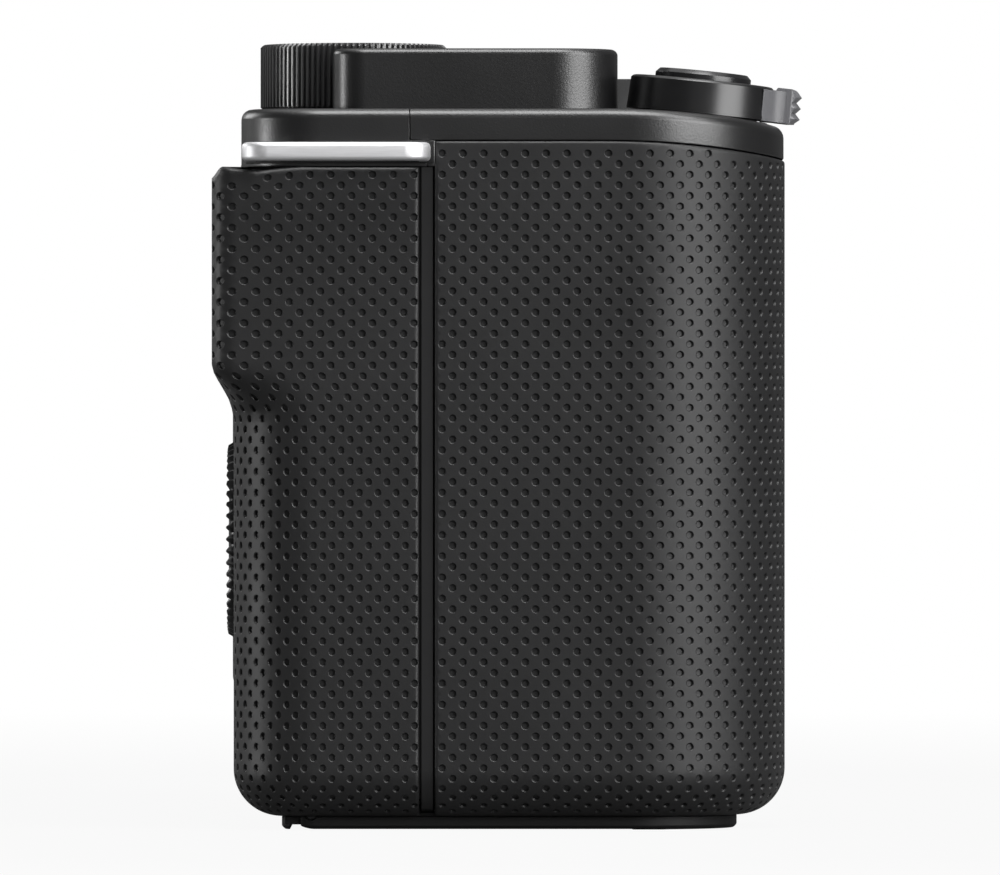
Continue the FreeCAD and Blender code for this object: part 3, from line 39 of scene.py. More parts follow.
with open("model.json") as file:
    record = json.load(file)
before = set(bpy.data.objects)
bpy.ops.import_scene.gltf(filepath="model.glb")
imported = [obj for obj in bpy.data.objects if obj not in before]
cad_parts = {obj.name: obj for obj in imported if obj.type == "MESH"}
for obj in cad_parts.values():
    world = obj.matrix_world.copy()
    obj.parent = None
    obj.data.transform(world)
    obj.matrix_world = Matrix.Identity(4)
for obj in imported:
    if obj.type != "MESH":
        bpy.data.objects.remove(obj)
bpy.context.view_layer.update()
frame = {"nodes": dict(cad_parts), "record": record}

MM = 0.001
LENS_Z = 38.0
LUG_Z = 61.6
RIGHT, FRONT, LEFT, REAR = -72.9, -26.0, 47.9, 23.6  # sides of the covers in plan
RING_SPOT = (-57.0, -18.3, 65.15)
RING_TILT = math.radians(5.7)
RING_AXIS = (0.0, -math.sin(RING_TILT), math.cos(RING_TILT))


# Sizes and colours that a user would change


def length(name, description, default, low=0.0):
    return bpy.props.FloatProperty(
        name=name, description=description, default=default, min=low, unit="LENGTH",
        subtype="DISTANCE", precision=5,
    )


def colour(name, description, default):
    return bpy.props.FloatVectorProperty(
        name=name, description=description, default=default, min=0.0, max=1.0, size=3, subtype="COLOR",
    )


def share(name, description, default):
    return bpy.props.FloatProperty(
        name=name, description=description, default=default, min=0.0, max=1.0, subtype="FACTOR",
    )


def ribs(name, description, default):
    return bpy.props.IntProperty(name=name, description=description, default=default, min=24, max=180)


class CoveringSettings(bpy.types.PropertyGroup):
    """The dimpled leather of the grip and the thumb rest"""

    pit_spacing: length("Pit spacing", "From one pit to the next along a row", 0.001886, 0.001)
    row_spacing: length("Row spacing", "From one row of pits to the next", 0.000962, 0.0006)
    pit_radius: length("Pit radius", "Radius of a pit at its rounded lip", 0.00039, 0.0001)
    pit_depth: length("Pit depth", "Depth of a pit's floor below the leather", 0.00026)
    leather: colour("Leather", "Colour of the covering", (0.0064, 0.0064, 0.0067))


class FinishSettings(bpy.types.PropertyGroup):
    """Paints and metals"""

    shell: colour("Covers", "Paint of the covers and the deck", (0.0022, 0.0022, 0.0024))
    control: colour("Controls", "Paint of the buttons and the doors", (0.005, 0.005, 0.0053))
    # The knurl colour is lighter than the other controls' paint: painted light standing in for the light the dial's
    # ribs catch
    knurl: colour("Knurled parts", "Paint of the dial and the wheel", (0.016, 0.016, 0.0165))
    steel: colour("Steel", "Strap lugs and other bright steel", (0.64, 0.64, 0.65))
    mount: colour("Lens mount", "Turned steel of the lens mount", (0.60, 0.60, 0.61))
    record: colour("Record button", "Paint of the record button", (0.42, 0.012, 0.010))


class ControlSettings(bpy.types.PropertyGroup):
    """The knurled controls"""

    dial_teeth: ribs("Dial ribs", "Ribs round the rear dial", 96)
    dial_depth: length("Rib depth", "Depth of the grooves between the dial's ribs", 0.00034)
    wheel_teeth: ribs("Wheel ribs", "Ribs round the thumb wheel", 48)
    wheel_depth: length("Wheel rib depth", "Depth of the grooves round the thumb wheel", 0.00045)


class StageSettings(bpy.types.PropertyGroup):
    """The floor, the background and the light"""

    floor_shade: share("Floor shade", "How much light the floor gives back to the camera body", 0.12)
    floor_white: share("Floor white", "How white the floor is shown beside the camera body", 0.93)
    reflected: share("Reflected white", "How much of the white background gloss shows", 0.05)
    light: bpy.props.FloatProperty(
        name="Light", description="Multiplies the power of every lamp", default=1.0, min=0.0,
    )


SETTINGS = {
    "body_covering": CoveringSettings,
    "body_finishes": FinishSettings,
    "body_controls": ControlSettings,
    "body_stage": StageSettings,
}


def chosen(group):
    """The user's values of one group."""
    return getattr(bpy.context.scene, group)


# Shader sums


def joined(operation, turned=False):
    """A method that joins a value and another term by a math node."""

    def method(self, other):
        terms = [other, self] if turned else [self, other]
        return self.finish.node("Math", {"operation": operation}, terms)

    return method


class Value:
    """A shader socket that can stand in a sum."""

    __add__ = joined("ADD")
    __radd__ = joined("ADD", True)
    __sub__ = joined("SUBTRACT")
    __mul__ = joined("MULTIPLY")
    __rmul__ = joined("MULTIPLY", True)
    __truediv__ = joined("DIVIDE")
    __pow__ = joined("POWER")
    above = joined("GREATER_THAN")
    at_most = joined("MINIMUM")
    at_least = joined("MAXIMUM")

    def __init__(self, finish, socket):
        self.finish = finish
        self.socket = socket

    def clamped(self, low, high):
        return self.at_most(high).at_least(low)


class Finish:
    """A node material, written as expressions."""

    def __init__(self, name):
        self.material = bpy.data.materials.new(name)
        self.material.use_nodes = True
        self.tree = self.material.node_tree
        self.tree.nodes.clear()
        self.output = self.tree.nodes.new("ShaderNodeOutputMaterial")
        self.spot = self.node("TexCoord", out="Object")

    def node(self, kind, settings=None, inputs=(), out=0):
        made = self.tree.nodes.new("ShaderNode" + kind)
        for key, value in (settings or {}).items():
            setattr(made, key, value)
        pairs = inputs.items() if isinstance(inputs, dict) else enumerate(inputs)
        for key, value in pairs:
            if isinstance(value, Value):
                self.tree.links.new(value.socket, made.inputs[key])
            else:
                made.inputs[key].default_value = value
        return Value(self, made.outputs[out])

    def axes(self, vector):
        split = self.node("SeparateXYZ", None, [vector])
        return [Value(self, socket) for socket in split.socket.node.outputs]

    def vector(self, x, y, z):
        return self.node("CombineXYZ", None, [x, y, z])

    def stretched(self, vector, scale):
        return self.node("VectorMath", {"operation": "MULTIPLY"}, [vector, scale])

    def noise(self, vector, scale, detail=2.0, roughness=0.5):
        inputs = {"Vector": vector, "Scale": scale, "Detail": detail, "Roughness": roughness}
        return self.node("TexNoise", None, inputs)

    def cells(self, vector, scale):
        return self.node("TexVoronoi", None, {"Vector": vector, "Scale": scale})

    def mixed(self, factor, first, second):
        return self.node("Mix", {"data_type": "RGBA"}, {"Factor": factor, 6: first, 7: second}, out=2)

    def bump(self, height, depth_mm):
        return self.node("Bump", None, {"Strength": 1.0, "Distance": depth_mm * MM, "Height": height})

    def surface(self, **sockets):
        inputs = {key.replace("_", " "): value for key, value in sockets.items()}
        shader = self.node("BsdfPrincipled", None, inputs)
        self.tree.links.new(shader.socket, self.output.inputs["Surface"])
        return self.material


def rgb(*levels):
    if len(levels) == 1:
        levels = levels * 3
    return (*levels, 1.0)


def toned(base, scale):
    """A colour made darker or lighter."""
    return rgb(*[min(1.0, level * scale) for level in base])


def paint(name, base, rough, grain=9000.0, depth=0.004, drift=0.3, specular=0.45):
    """Satin paint with a fine even grain and a slight cloud of gloss."""
    f = Finish(name)
    cloud = f.noise(f.spot, 120.0, 3.0)
    fine = f.noise(f.spot, grain, 1.0)
    return f.surface(
        Base_Color=f.mixed(cloud, toned(base, 1 - drift), toned(base, 1 + drift)),
        Roughness=rough + (cloud - 0.5) * 0.10 + (fine - 0.5) * 0.08,
        Specular_IOR_Level=specular,
        Normal=f.bump(fine, depth),
    )


def leather(name, base):
    """Rubbery covering with a very fine pebble between its dimples."""
    f = Finish(name)
    pebble = f.cells(f.spot, 6500.0)
    dust = f.noise(f.spot, 14000.0, 1.0)
    cloud = f.noise(f.spot, 90.0, 3.0)
    return f.surface(
        Base_Color=f.mixed(cloud, toned(base, 0.8), toned(base, 1.25)),
        Roughness=0.48 + (cloud - 0.5) * 0.12,
        Specular_IOR_Level=0.34,
        Normal=f.bump(pebble * 0.6 + dust * 0.4, 0.006),
    )


def brushed(name, base, rough, along, metallic=1.0):
    """Metal with hair lines along one axis of the object."""
    f = Finish(name)
    pull = {"X": (1.0, 40.0, 40.0), "Y": (40.0, 1.0, 40.0), "Z": (40.0, 40.0, 1.0)}[along]
    hair = f.noise(f.stretched(f.spot, pull), 260.0, 4.0, 0.65)
    cloud = f.noise(f.spot, 150.0, 2.0)
    return f.surface(
        Base_Color=f.mixed(hair, toned(base, 0.8), toned(base, 1.15)),
        Metallic=metallic,
        Roughness=rough + (hair - 0.5) * 0.16 + (cloud - 0.5) * 0.06,
        Normal=f.bump(hair, 0.003),
    )


def turned(name, base, rough, x, z, axis="Y", lines=9000.0, metallic=1.0):
    """Metal turned on a lathe: fine rings about one axis."""
    f = Finish(name)
    px, py, pz = f.axes(f.spot)
    a, b = (px - x * MM, pz - z * MM) if axis == "Y" else (px - x * MM, py - z * MM)
    radius = (a * a + b * b) ** 0.5
    rings = f.noise(f.vector(radius, 0.0, 0.0), lines, 2.0)
    cloud = f.noise(f.spot, 140.0, 2.0)
    return f.surface(
        Base_Color=f.mixed(rings, toned(base, 0.85), toned(base, 1.1)),
        Metallic=metallic,
        Roughness=rough + (rings - 0.5) * 0.12 + (cloud - 0.5) * 0.05,
        Normal=f.bump(rings, 0.002),
    )


def glass(name, base, rough=0.06):
    """Dark cover glass with a clear coat and faint smears."""
    f = Finish(name)
    smear = f.noise(f.spot, 25.0, 1.0)
    return f.surface(
        Base_Color=f.mixed(smear, toned(base, 0.95), toned(base, 1.05)),
        Roughness=rough + smear * 0.01,
        Coat_Weight=0.95 + smear * 0.05,
        Coat_Roughness=0.03,
        Specular_IOR_Level=0.5,
    )


def board_mask(name, base, trace):
    """Solder mask with a maze of traces under it."""
    f = Finish(name)
    maze = f.cells(f.spot, 700.0).above(0.42)
    return f.surface(
        Base_Color=f.mixed(maze, rgb(*base), rgb(*trace)),
        Roughness=0.35 + maze * 0.1,
        Normal=f.bump(maze, 0.02),
    )


# Maker, colour or the setting that holds it, and numbers in the maker's order
FINISHES = {
    "skin": (leather, "leather"),
    "shell": (paint, "shell", 0.35, 5500.0, 0.011, 0.3, 0.58),
    "control": (paint, "control", 0.36, 12000.0, 0.002),
    # knurl: its lighter base colour is painted light on the dial's ribs
    "knurl": (paint, "knurl", 0.3, 12000.0, 0.002, 0.3, 0.7),
    "ring": (turned, (0.004, 0.004, 0.0043), 0.3, -57.0, -18.3, "Z", 9000.0, 0.0),
    "tab": (brushed, (0.08, 0.08, 0.085), 0.34, "Z", 0.0),
    "gloss": (paint, (0.006, 0.006, 0.0065), 0.26, 16000.0, 0.0008, 0.2),
    # underside: dull paint of low gloss that renders darker than the covers; it is painted shade standing in for the
    # shade under the body and in the lug recess
    "underside": (paint, (0.003, 0.003, 0.0032), 0.6, 7000.0, 0.006, 0.3, 0.25),
    "plastic": (paint, (0.016, 0.016, 0.0165), 0.5, 7000.0, 0.006),
    "steel": (brushed, "steel", 0.52, "Y"),
    "mount_steel": (turned, "mount", 0.3, 0.0, LENS_Z),
    "rail": (brushed, (0.16, 0.16, 0.165), 0.42, "Y"),
    "black_screw": (turned, (0.05, 0.05, 0.052), 0.36, 0.0, 0.0, "Z"),
    "collar": (paint, (0.006, 0.006, 0.0062), 0.55, 9000.0, 0.003, 0.3, 0.3),
    "gold": (brushed, (0.80, 0.58, 0.24), 0.25, "Y"),
    "sensor": (glass, (0.05, 0.10, 0.11), 0.05),
    "cast": (paint, (0.20, 0.20, 0.205), 0.5, 5000.0, 0.01),
    "board": (board_mask, (0.012, 0.07, 0.035), (0.02, 0.12, 0.055)),
    "battery": (paint, (0.035, 0.035, 0.037), 0.55, 6000.0, 0.008),
    "screen": (glass, (0.006, 0.006, 0.008)),
    "red": (paint, "record", 0.25, 12000.0, 0.001, 0.1),
    "lamp": (glass, (0.20, 0.02, 0.012), 0.1),
}
made_finishes = {}


def finish_of(slot):
    """The material of a slot, made once."""
    if slot not in made_finishes:
        maker, base, *numbers = FINISHES[slot]
        if isinstance(base, str):
            base = getattr(chosen("body_covering" if maker is leather else "body_finishes"), base)
        made_finishes[slot] = maker(slot, base, *numbers)
    return made_finishes[slot]


# Mesh helpers


def smooth_but(work, crease):
    """Smooths all faces, with edges over the crease angle left sharp."""
    for face in work.faces:
        face.smooth = True
    for edge in work.edges:
        edge.smooth = len(edge.link_faces) != 2 or edge.calc_face_angle(0.0) <= math.radians(crease)


def mounted(name, work, body, slot, replaces=()):
    """Makes a finished mesh into a piece that rides on a body."""
    mesh = bpy.data.meshes.new(name)
    work.to_mesh(mesh)
    work.free()
    mesh.materials.append(finish_of(slot))
    made = bpy.data.objects.new(name, mesh)
    bpy.context.scene.collection.objects.link(made)
    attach(made, body)
    if replaces:
        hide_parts(*replaces)
    return made


def even_weights(made):
    """Shades a piece by the weight of its faces."""
    made.modifiers.new("weights", "WEIGHTED_NORMAL").keep_sharp = True
    return made


def from_points(points, faces):
    """A work mesh of points and faces."""
    mesh = bpy.data.meshes.new("work")
    mesh.from_pydata([tuple(p) for p in points], [], faces)
    mesh.validate()
    work = bmesh.new()
    work.from_mesh(mesh)
    bpy.data.meshes.remove(mesh)
    return work


def piece(name, points, faces, body, slot, crease=32.0, replaces=()):
    """A mesh in millimetres, made into a piece that rides on a body."""
    work = from_points(np.asarray(points, float) * MM, faces)
    bmesh.ops.remove_doubles(work, verts=work.verts, dist=1e-7)
    bmesh.ops.recalc_face_normals(work, faces=work.faces)
    smooth_but(work, crease)
    return mounted(name, work, body, slot, replaces)


def between(rows, n, gap=0):
    """Faces between rows of n points each; gap leaves that many open at the end of a row."""
    return [
        (r * n + k, r * n + (k + 1) % n, (r + 1) * n + (k + 1) % n, (r + 1) * n + k)
        for r in range(rows - 1) for k in range(n - gap)
    ]


def moved(faces, by):
    """Faces of a copy whose points start later."""
    return [tuple(by + k for k in face) for face in faces]


def fan(start, n):
    """Faces from a ring of n points to the point after it."""
    return [(start + k, start + (k + 1) % n, start + n) for k in range(n)]


def ended(rows, n):
    """Faces between rows of n points, and one at each end."""
    end = tuple(range(n))
    return between(rows, n) + [end[::-1], *moved([end], (rows - 1) * n)]


def turned_about(centre, axis, toward=(1, 0, 0)):
    """Turns local millimetres (x, y, up the axis) into the camera's frame."""
    up = Vector(axis).normalized()
    along = Vector(toward)
    along = (along - up * along.dot(up)).normalized()
    across = up.cross(along)
    base = np.array([along, across, up])
    return lambda points: np.asarray(points, float) @ base + np.asarray(centre, float)


def lathe(profile, count, wave=None, ribs=()):
    """Points and faces of a turned form; wave moves its points out and up.

    ribs holds the places of the points within each rib, from 0 to 1.
    """
    angles = np.arange(count) * 2 * math.pi / count
    if ribs:
        angles = np.add.outer(np.arange(count // len(ribs)), ribs).ravel() * 2 * math.pi * len(ribs) / count
    points = []
    for row, (radius, height) in enumerate(profile):
        r, up = np.full(count, radius, float), np.full(count, height, float)
        if wave:
            out, rise = wave(row, angles)
            r, up = r + out, up + rise
        points.append(np.stack([r * np.cos(angles), r * np.sin(angles), up], 1))
    return np.concatenate(points), between(len(profile), count)


def capped(points, faces, count, first=True):
    """Closes the last end of a lathe's form with a fan, and the first too."""
    points = list(map(tuple, points))
    start = len(points) - count
    if first:
        points.append(tuple(np.mean(points[:count], 0)))
        faces += [(len(points) - 1, (k + 1) % count, k) for k in range(count)]
    points.append(tuple(np.mean(points[start:start + count], 0)))
    faces += [(len(points) - 1, start + k, start + (k + 1) % count) for k in range(count)]
    return points, faces


def rounded_profile(corners, steps=4):
    """A profile with its corners rounded: (radius, height, round)."""
    out = []
    for i, (x, y, r) in enumerate(corners):
        if r <= 0 or i in (0, len(corners) - 1):
            out.append((x, y))
            continue
        here = Vector((x, y))
        back = (Vector(corners[i - 1][:2]) - here).normalized()
        on = (Vector(corners[i + 1][:2]) - here).normalized()
        half = math.acos(max(-1.0, min(1.0, back.dot(on)))) / 2
        reach = r / math.tan(half)
        start, end = here + back * reach, here + on * reach
        middle = here + (back + on).normalized() * (r / math.sin(half))
        a0 = math.atan2(*(start - middle).yx)
        a1 = math.atan2(*(end - middle).yx)
        turn = (a1 - a0 + math.pi) % (2 * math.pi) - math.pi
        for k in range(steps + 1):
            a = a0 + turn * k / steps
            out.append((middle.x + r * math.cos(a), middle.y + r * math.sin(a)))
    return out


# Dimpled leather

SEGMENTS = 12
# Rows of points in a pit: shares of its radius and of its depth
PIT_ROWS = [(1.0, 0.0), (0.84, -0.12), (0.67, -0.96)]
WELD = 0.004  # mm
TURNED_IN = (0.35, 1.05)  # depths of the edge that is turned in, in mm


def dimple_sheet(width, height, first_u, first_v, plain):
    """A flat sheet of diamond cells, each with a pit: (u, v, depth) points, faces and crisp rings."""
    s = chosen("body_covering")
    across, down, pit, deep = [size / MM for size in (s.pit_spacing, s.row_spacing, s.pit_radius, s.pit_depth)]
    half_u, half_v = across / 2, down
    corners = [np.array(c) for c in ((half_u, 0), (0, half_v), (-half_u, 0), (0, -half_v))]
    outer = []
    for k in range(4):
        a, b = corners[k], corners[(k + 1) % 4]
        outer += [a, a + (b - a) / 3, a + (b - a) * 2 / 3]
    angles = np.arange(SEGMENTS) * 2 * math.pi / SEGMENTS
    circle = np.stack([np.cos(angles), np.sin(angles)], 1) * pit
    flat = np.concatenate([outer] + [circle * reach for reach, level in PIT_ROWS] + [[[0, 0]]])
    levels = [0.0] + [level for reach, level in PIT_ROWS]
    drop = np.concatenate([np.repeat(levels, SEGMENTS), [-1.0]]) * deep
    n, rows = SEGMENTS, len(levels)
    cell = between(rows, n) + fan((rows - 1) * n, n)
    blank = np.concatenate([outer, np.array(outer) * 0.45, [[0, 0]]])
    bare = between(2, n) + fan(n, n)
    points, faces, rings = [], [], []
    total = 0
    for j in range(math.floor((-2 - first_v) / down), math.ceil((height + 2 - first_v) / down)):
        shift = half_u if j % 2 else 0.0
        for i in range(-2, int(width / across) + 3):
            centre = (first_u + i * across + shift, first_v + j * down)
            form, depth, sides = (blank, np.zeros(len(blank)), bare) if plain(*centre) else (flat, drop, cell)
            points.append(np.column_stack([form + centre, depth]))
            faces += moved(sides, total)
            if sides is cell:
                rings += [range(total + n, total + 2 * n), range(total + 3 * n, total + 4 * n)]
            total += len(form)
    return np.concatenate(points), faces, rings


def cut_sheet(work, cuts):
    """Cuts a flat sheet along lines given as (point, normal, whether the far side goes)."""
    for spot, normal, clear in cuts:
        bmesh.ops.bisect_plane(
            work, geom=work.verts[:] + work.edges[:] + work.faces[:], plane_co=spot, plane_no=normal,
            clear_outer=clear, dist=0.002,
        )


def edge_cuts(long, across):
    """Cuts that trim the ends and the foot of a sheet, and part it across at some lengths."""
    trims = [((0, 0, 0), (-1, 0, 0), True), ((long, 0, 0), (1, 0, 0), True), ((0, 0.3, 0), (0, -1, 0), True)]
    return trims + [((d, 0, 0), (1, 0, 0), False) for d in across]


def leather_piece(name, body, size, first, plain, cuts, lift, drop_cells, surface, edge, replaces):
    """Dimples a flat sheet, trims it, bends it on to the body and turns its edges in.

    The sheet's upper edge lies lift(u) under its greatest height.
    """
    width, height = size
    points, faces, rings = dimple_sheet(width, height, first[0], first[1], plain)
    work = from_points(points, faces)
    crisp_ring = work.verts.layers.int.new("crisp_ring")
    work.verts.ensure_lookup_table()
    for number, ring in enumerate(rings):
        for k in ring:
            work.verts[k][crisp_ring] = number + 1
    bmesh.ops.remove_doubles(work, verts=work.verts, dist=WELD)
    cut_sheet(work, cuts)
    for v in work.verts:
        v.co.y += lift(v.co.x)
    cut_sheet(work, [((0, height - d, 0), (0, 1, 0), d == 0.0) for d in (0.0, 0.1, 0.3)])
    for v in work.verts:
        v.co.y -= lift(v.co.x)
    gone = [f for f in work.faces if drop_cells(*f.calc_center_median()[:2])]
    bmesh.ops.delete(work, geom=gone, context="FACES")
    for e in work.edges:
        if e.verts[0][crisp_ring] and e.verts[0][crisp_ring] == e.verts[1][crisp_ring]:
            e.smooth = False
    border = [e for e in work.edges if len(e.link_faces) == 1]
    flat = {}
    for deeper in TURNED_IN:
        grown = bmesh.ops.extrude_edge_only(work, edges=border)
        fresh = [g for g in grown["geom"] if isinstance(g, bmesh.types.BMVert)]
        border = [g for g in grown["geom"] if isinstance(g, bmesh.types.BMEdge)]
        for v in fresh:
            flat[v] = deeper
    for v in work.verts:
        u, w, depth = v.co
        place, normal = surface(u, w)
        sink = edge(u, w) + flat.get(v, -depth)
        v.co = (Vector(place) - Vector(normal) * sink) * MM
    bmesh.ops.dissolve_degenerate(work, edges=work.edges, dist=WELD * MM)
    for face in work.faces:
        face.smooth = True
    return mounted(name, work, body, "skin", replaces)


def curve_walk(*parts):
    """A plan curve made of runs and arcs, as a function from length to point and normal."""
    stops = [0.0]
    for part in parts:
        stops.append(stops[-1] + part[0])

    def at(length):
        length = min(max(length, 0.0), stops[-1])
        k = max(i for i in range(len(parts)) if stops[i] <= length + 1e-9)
        return parts[k][1](length - stops[k])

    return at, stops[-1]


def run(start, end, normal):
    """A straight part of a walk."""
    start, end = Vector(start), Vector(end)
    length = (end - start).length
    way = (end - start) / length
    return length, lambda s: (start + way * s, Vector(normal))


def bend(centre, radius, first, sweep, outward=1.0):
    """A round part of a walk."""
    centre = Vector(centre)

    def at(s):
        a = first + sweep * s / (abs(sweep) * radius)
        ray = Vector((math.cos(a), math.sin(a)))
        return centre + ray * radius, ray * outward

    return abs(sweep) * radius, at


def edge_fall(distance, radius=0.32):
    """How far the surface drops near its edge."""
    if distance >= radius:
        return 0.0
    t = 1 - max(distance, 0.0) / radius
    return radius * (1 - math.sqrt(max(0.0, 1 - t * t)))


SIDE = -73.0
BELLY = 4.3  # radius of the lower round
BELLY_ARC = BELLY * math.pi / 2
LOW = 1.2
RIM, RIM_FALLS, RIM_ARC = 62.7, -9.0, 95.0
GRIP_TOP = 62.65
QUARTER = math.pi / 2


def belly_at(v):
    """Inset, height and lean of the lower round, by length up the side."""
    if v >= BELLY_ARC:
        return 0.0, LOW + BELLY + v - BELLY_ARC, 0.0
    a = v / BELLY
    return BELLY * (1 - math.sin(a)), LOW + BELLY * (1 - math.cos(a)), math.pi / 2 - a


def up_side(z):
    """Length up the side to a height."""
    return BELLY_ARC + z - LOW - BELLY


def rim_under(y):
    """Underside of the rim, which falls away in a large arc towards the front."""
    d = RIM_FALLS - y
    return RIM if d <= 0 else RIM - RIM_ARC + math.sqrt(RIM_ARC ** 2 - d * d)


def grip_leather():
    """Leather round the grip, from the side strip to the mount surround."""
    plan, long = curve_walk(
        run((SIDE, 5.95), (SIDE, -12.1), (-1, 0)),
        bend((SIDE + 14, -12.1), 14.0, math.pi, QUARTER),
        run((-59.0, -26.1), (-50.5, -26.1), (0, -1)),
        bend((-50.5, -17.1), 9.0, -QUARTER, QUARTER),
        run((-41.5, -17.1), (-41.5, -16.0), (1, 0)),
        bend((-37.5, -16.0), 4.0, math.pi, -QUARTER, -1.0),
    )
    tall = up_side(GRIP_TOP)

    def surface(u, v):
        (x, y), (nx, ny) = plan(u)
        inset, z, lean = belly_at(v)
        c, s = math.cos(lean), math.sin(lean)
        return (x - nx * inset, y - ny * inset, z), (nx * c, ny * c, -s)

    def top(u):
        return tall - GRIP_TOP + rim_under(plan(u)[0].y) - 0.05

    def edge(u, v):
        return max(edge_fall(u), edge_fall(top(u) - v), edge_fall(long - u))

    def plain(u, v):
        return u < 0.5 or v > top(u) - 0.62 or v < 1.6 or u > long - 0.6

    cuts = edge_cuts(long, (0.1, 0.3))
    return leather_piece(
        "grip_covering", "camera_body", (long, tall), (0.70, up_side(61.48)), plain, cuts, lambda u: tall - top(u),
        lambda u, v: False, surface, edge, ["grip_leather"],
    )


# Length along the upper walk, and by how much the leather is stretched up to there
STRETCH = [(12.7, 0.0), (14.6, 0.18), (16.5, 0.49), (18.4, 0.98)]
# Length along the upper walk, and how far the top edge sags there
SAG = [(10.4, 0.0), (12.6, 0.16), (14.5, 0.42), (16.0, 0.2), (17.4, 0.0)]
# Height, and how far the thumb rest stands out there
THUMB_BLEND = [(37.0, 0.0), (38.1, 0.05), (39.2, 0.24), (40.0, 0.47), (41.0, 0.78), (41.6, 0.94), (42.3, 1.0)]


def thumb_rise(z):
    """How far the thumb rest stands out at a height, from 0 to 1."""
    heights, levels = zip(*THUMB_BLEND)
    return float(np.interp(z, heights, levels))


def thumb_leather():
    """Leather round the rear corner, which stands out over the thumb rest."""
    high, long_high = curve_walk(
        run((SIDE, 7.35), (SIDE, 24.2), (-1, 0)),
        bend((SIDE + 2, 24.2), 2.0, math.pi, -QUARTER),
        run((-71.0, 26.2), (-45.4, 26.2), (0, 1)),
        bend((-45.4, 23.8), 2.4, QUARTER, -QUARTER),
    )
    low, long_low = curve_walk(
        run((SIDE, 7.35), (SIDE, 16.9), (-1, 0)),
        bend((SIDE + 7.4, 16.9), 7.4, math.pi, -QUARTER),
        run((-65.6, 24.3), (-64.5, 24.3), (0, 1)),
    )
    wrap = 25.2
    long_high -= STRETCH[-1][1]
    tall = up_side(60.3)

    def surface(u, v):
        v -= float(np.interp(u, *zip(*SAG)) * np.interp(tall - v, (0.8, 1.9, 2.8), (1.0, 0.3, 0.0)))
        inset, z, lean = belly_at(v)
        (hx, hy), (hnx, hny) = high(u + float(np.interp(u, *zip(*STRETCH))))
        if u <= wrap:
            (lx, ly), (lnx, lny) = low(u * long_low / wrap)
        else:
            (lx, ly), (lnx, lny) = (hx, 23.3 + max(0.0, 1 - (u - wrap) / 1.5)), (0.0, 1.0)
            hy = max(hy, 23.3)
        k = thumb_rise(z)
        x, y = lx + (hx - lx) * k, ly + (hy - ly) * k
        n = Vector((lnx + (hnx - lnx) * k, lny + (hny - lny) * k)).normalized()
        slope = (thumb_rise(z + 0.1) - thumb_rise(z - 0.1)) / 0.2 * 1.9
        normal = Vector((n.x, n.y, -slope * max(n.y, 0.0))).normalized()
        c, s = math.cos(lean), math.sin(lean)
        if lean > 0:
            normal = Vector((n.x * c, n.y * c, -s))
        return (x - n.x * inset, y - n.y * inset, z), normal

    low_v = up_side(37.2)

    def edge(u, v):
        back = float(np.interp(u, (17.2, 20.0), (0.0, 1.0)))
        top = edge_fall(tall - v, 0.4) * (1 - back) + max(0.0, 1.74 - 1.7 * (tall - v)) * back
        return max(edge_fall(u), top, edge_fall(wrap - u) if v < low_v else 0.0)

    def plain(u, v):
        if u < 0.4 or v > tall - float(np.interp(u, (15.2, 15.6), (0.7, 1.3))) or v < 1.6:
            return True
        return (u > wrap - 0.7 and v < low_v + 0.9) or u > long_high - 1.5

    cuts = edge_cuts(long_high, (0.1, 0.3, wrap, wrap - 0.3))
    cuts += [((0, tall - d, 0), (0, 1, 0), False) for d in (0.7, 1.3)]
    cuts += [((0, low_v, 0), (0, 1, 0), False)]
    return leather_piece(
        "thumb_covering", "camera_body", (long_high, tall), (0.46, up_side(59.54)), plain, cuts, lambda u: 0.0,
        lambda u, v: u > wrap and v < low_v, surface, edge, ["thumb_leather"],
    )


# Pieces cut from the CAD model's own shapes

BODY_OF = {node: body for body, nodes in frame["record"]["behaviour"]["bodies"].items() for node in nodes}
SLOT_OF = {row["node"]: row["material_slot"] for row in frame["record"]["subparts"]}
BROKEN_ABOVE = 26.0  # degrees
FLAT = math.radians(0.8)


def convex_edges(work, angle, wanted=None):
    """Outer edges sharper than an angle, of those that are wanted."""
    out = []
    for e in work.edges:
        if len(e.link_faces) != 2 or not e.is_convex or e.calc_face_angle(0.0) < math.radians(angle):
            continue
        if wanted is None or wanted(*((e.verts[0].co + e.verts[1].co) / 2 / MM)):
            out.append(e)
    return out


def bevelled(work, edges, width, steps=2, clamp=False):
    """Breaks edges with a bevel of a width in mm, and returns its faces."""
    return bmesh.ops.bevel(
        work, geom=edges, offset=width * MM, offset_type="OFFSET", segments=steps, profile=0.5,
        affect="EDGES", clamp_overlap=clamp,
    )["faces"]


def crisp(node, width=0.12, broad=(), slot=None):
    """A node's own shape with its edges broken; broad holds (test, width) pairs."""
    source = frame["nodes"][node]
    work = bmesh.new()
    work.from_mesh(source.data)
    work.transform(source.matrix_world)
    bmesh.ops.remove_doubles(work, verts=work.verts, dist=2e-6)
    bmesh.ops.dissolve_limit(work, angle_limit=FLAT, verts=work.verts, edges=work.edges, delimit=set())
    done = work.edges.layers.int.new("done")
    for test, wide in broad:
        for face in bevelled(work, convex_edges(work, BROKEN_ABOVE, test), wide, 5):
            for e in face.edges:
                e[done] = 1
    bevelled(work, [e for e in convex_edges(work, BROKEN_ABOVE) if not e[done]], width)
    smooth_but(work, 34.0)
    return even_weights(mounted(node + "_shape", work, BODY_OF[node], slot or SLOT_OF[node], [node]))


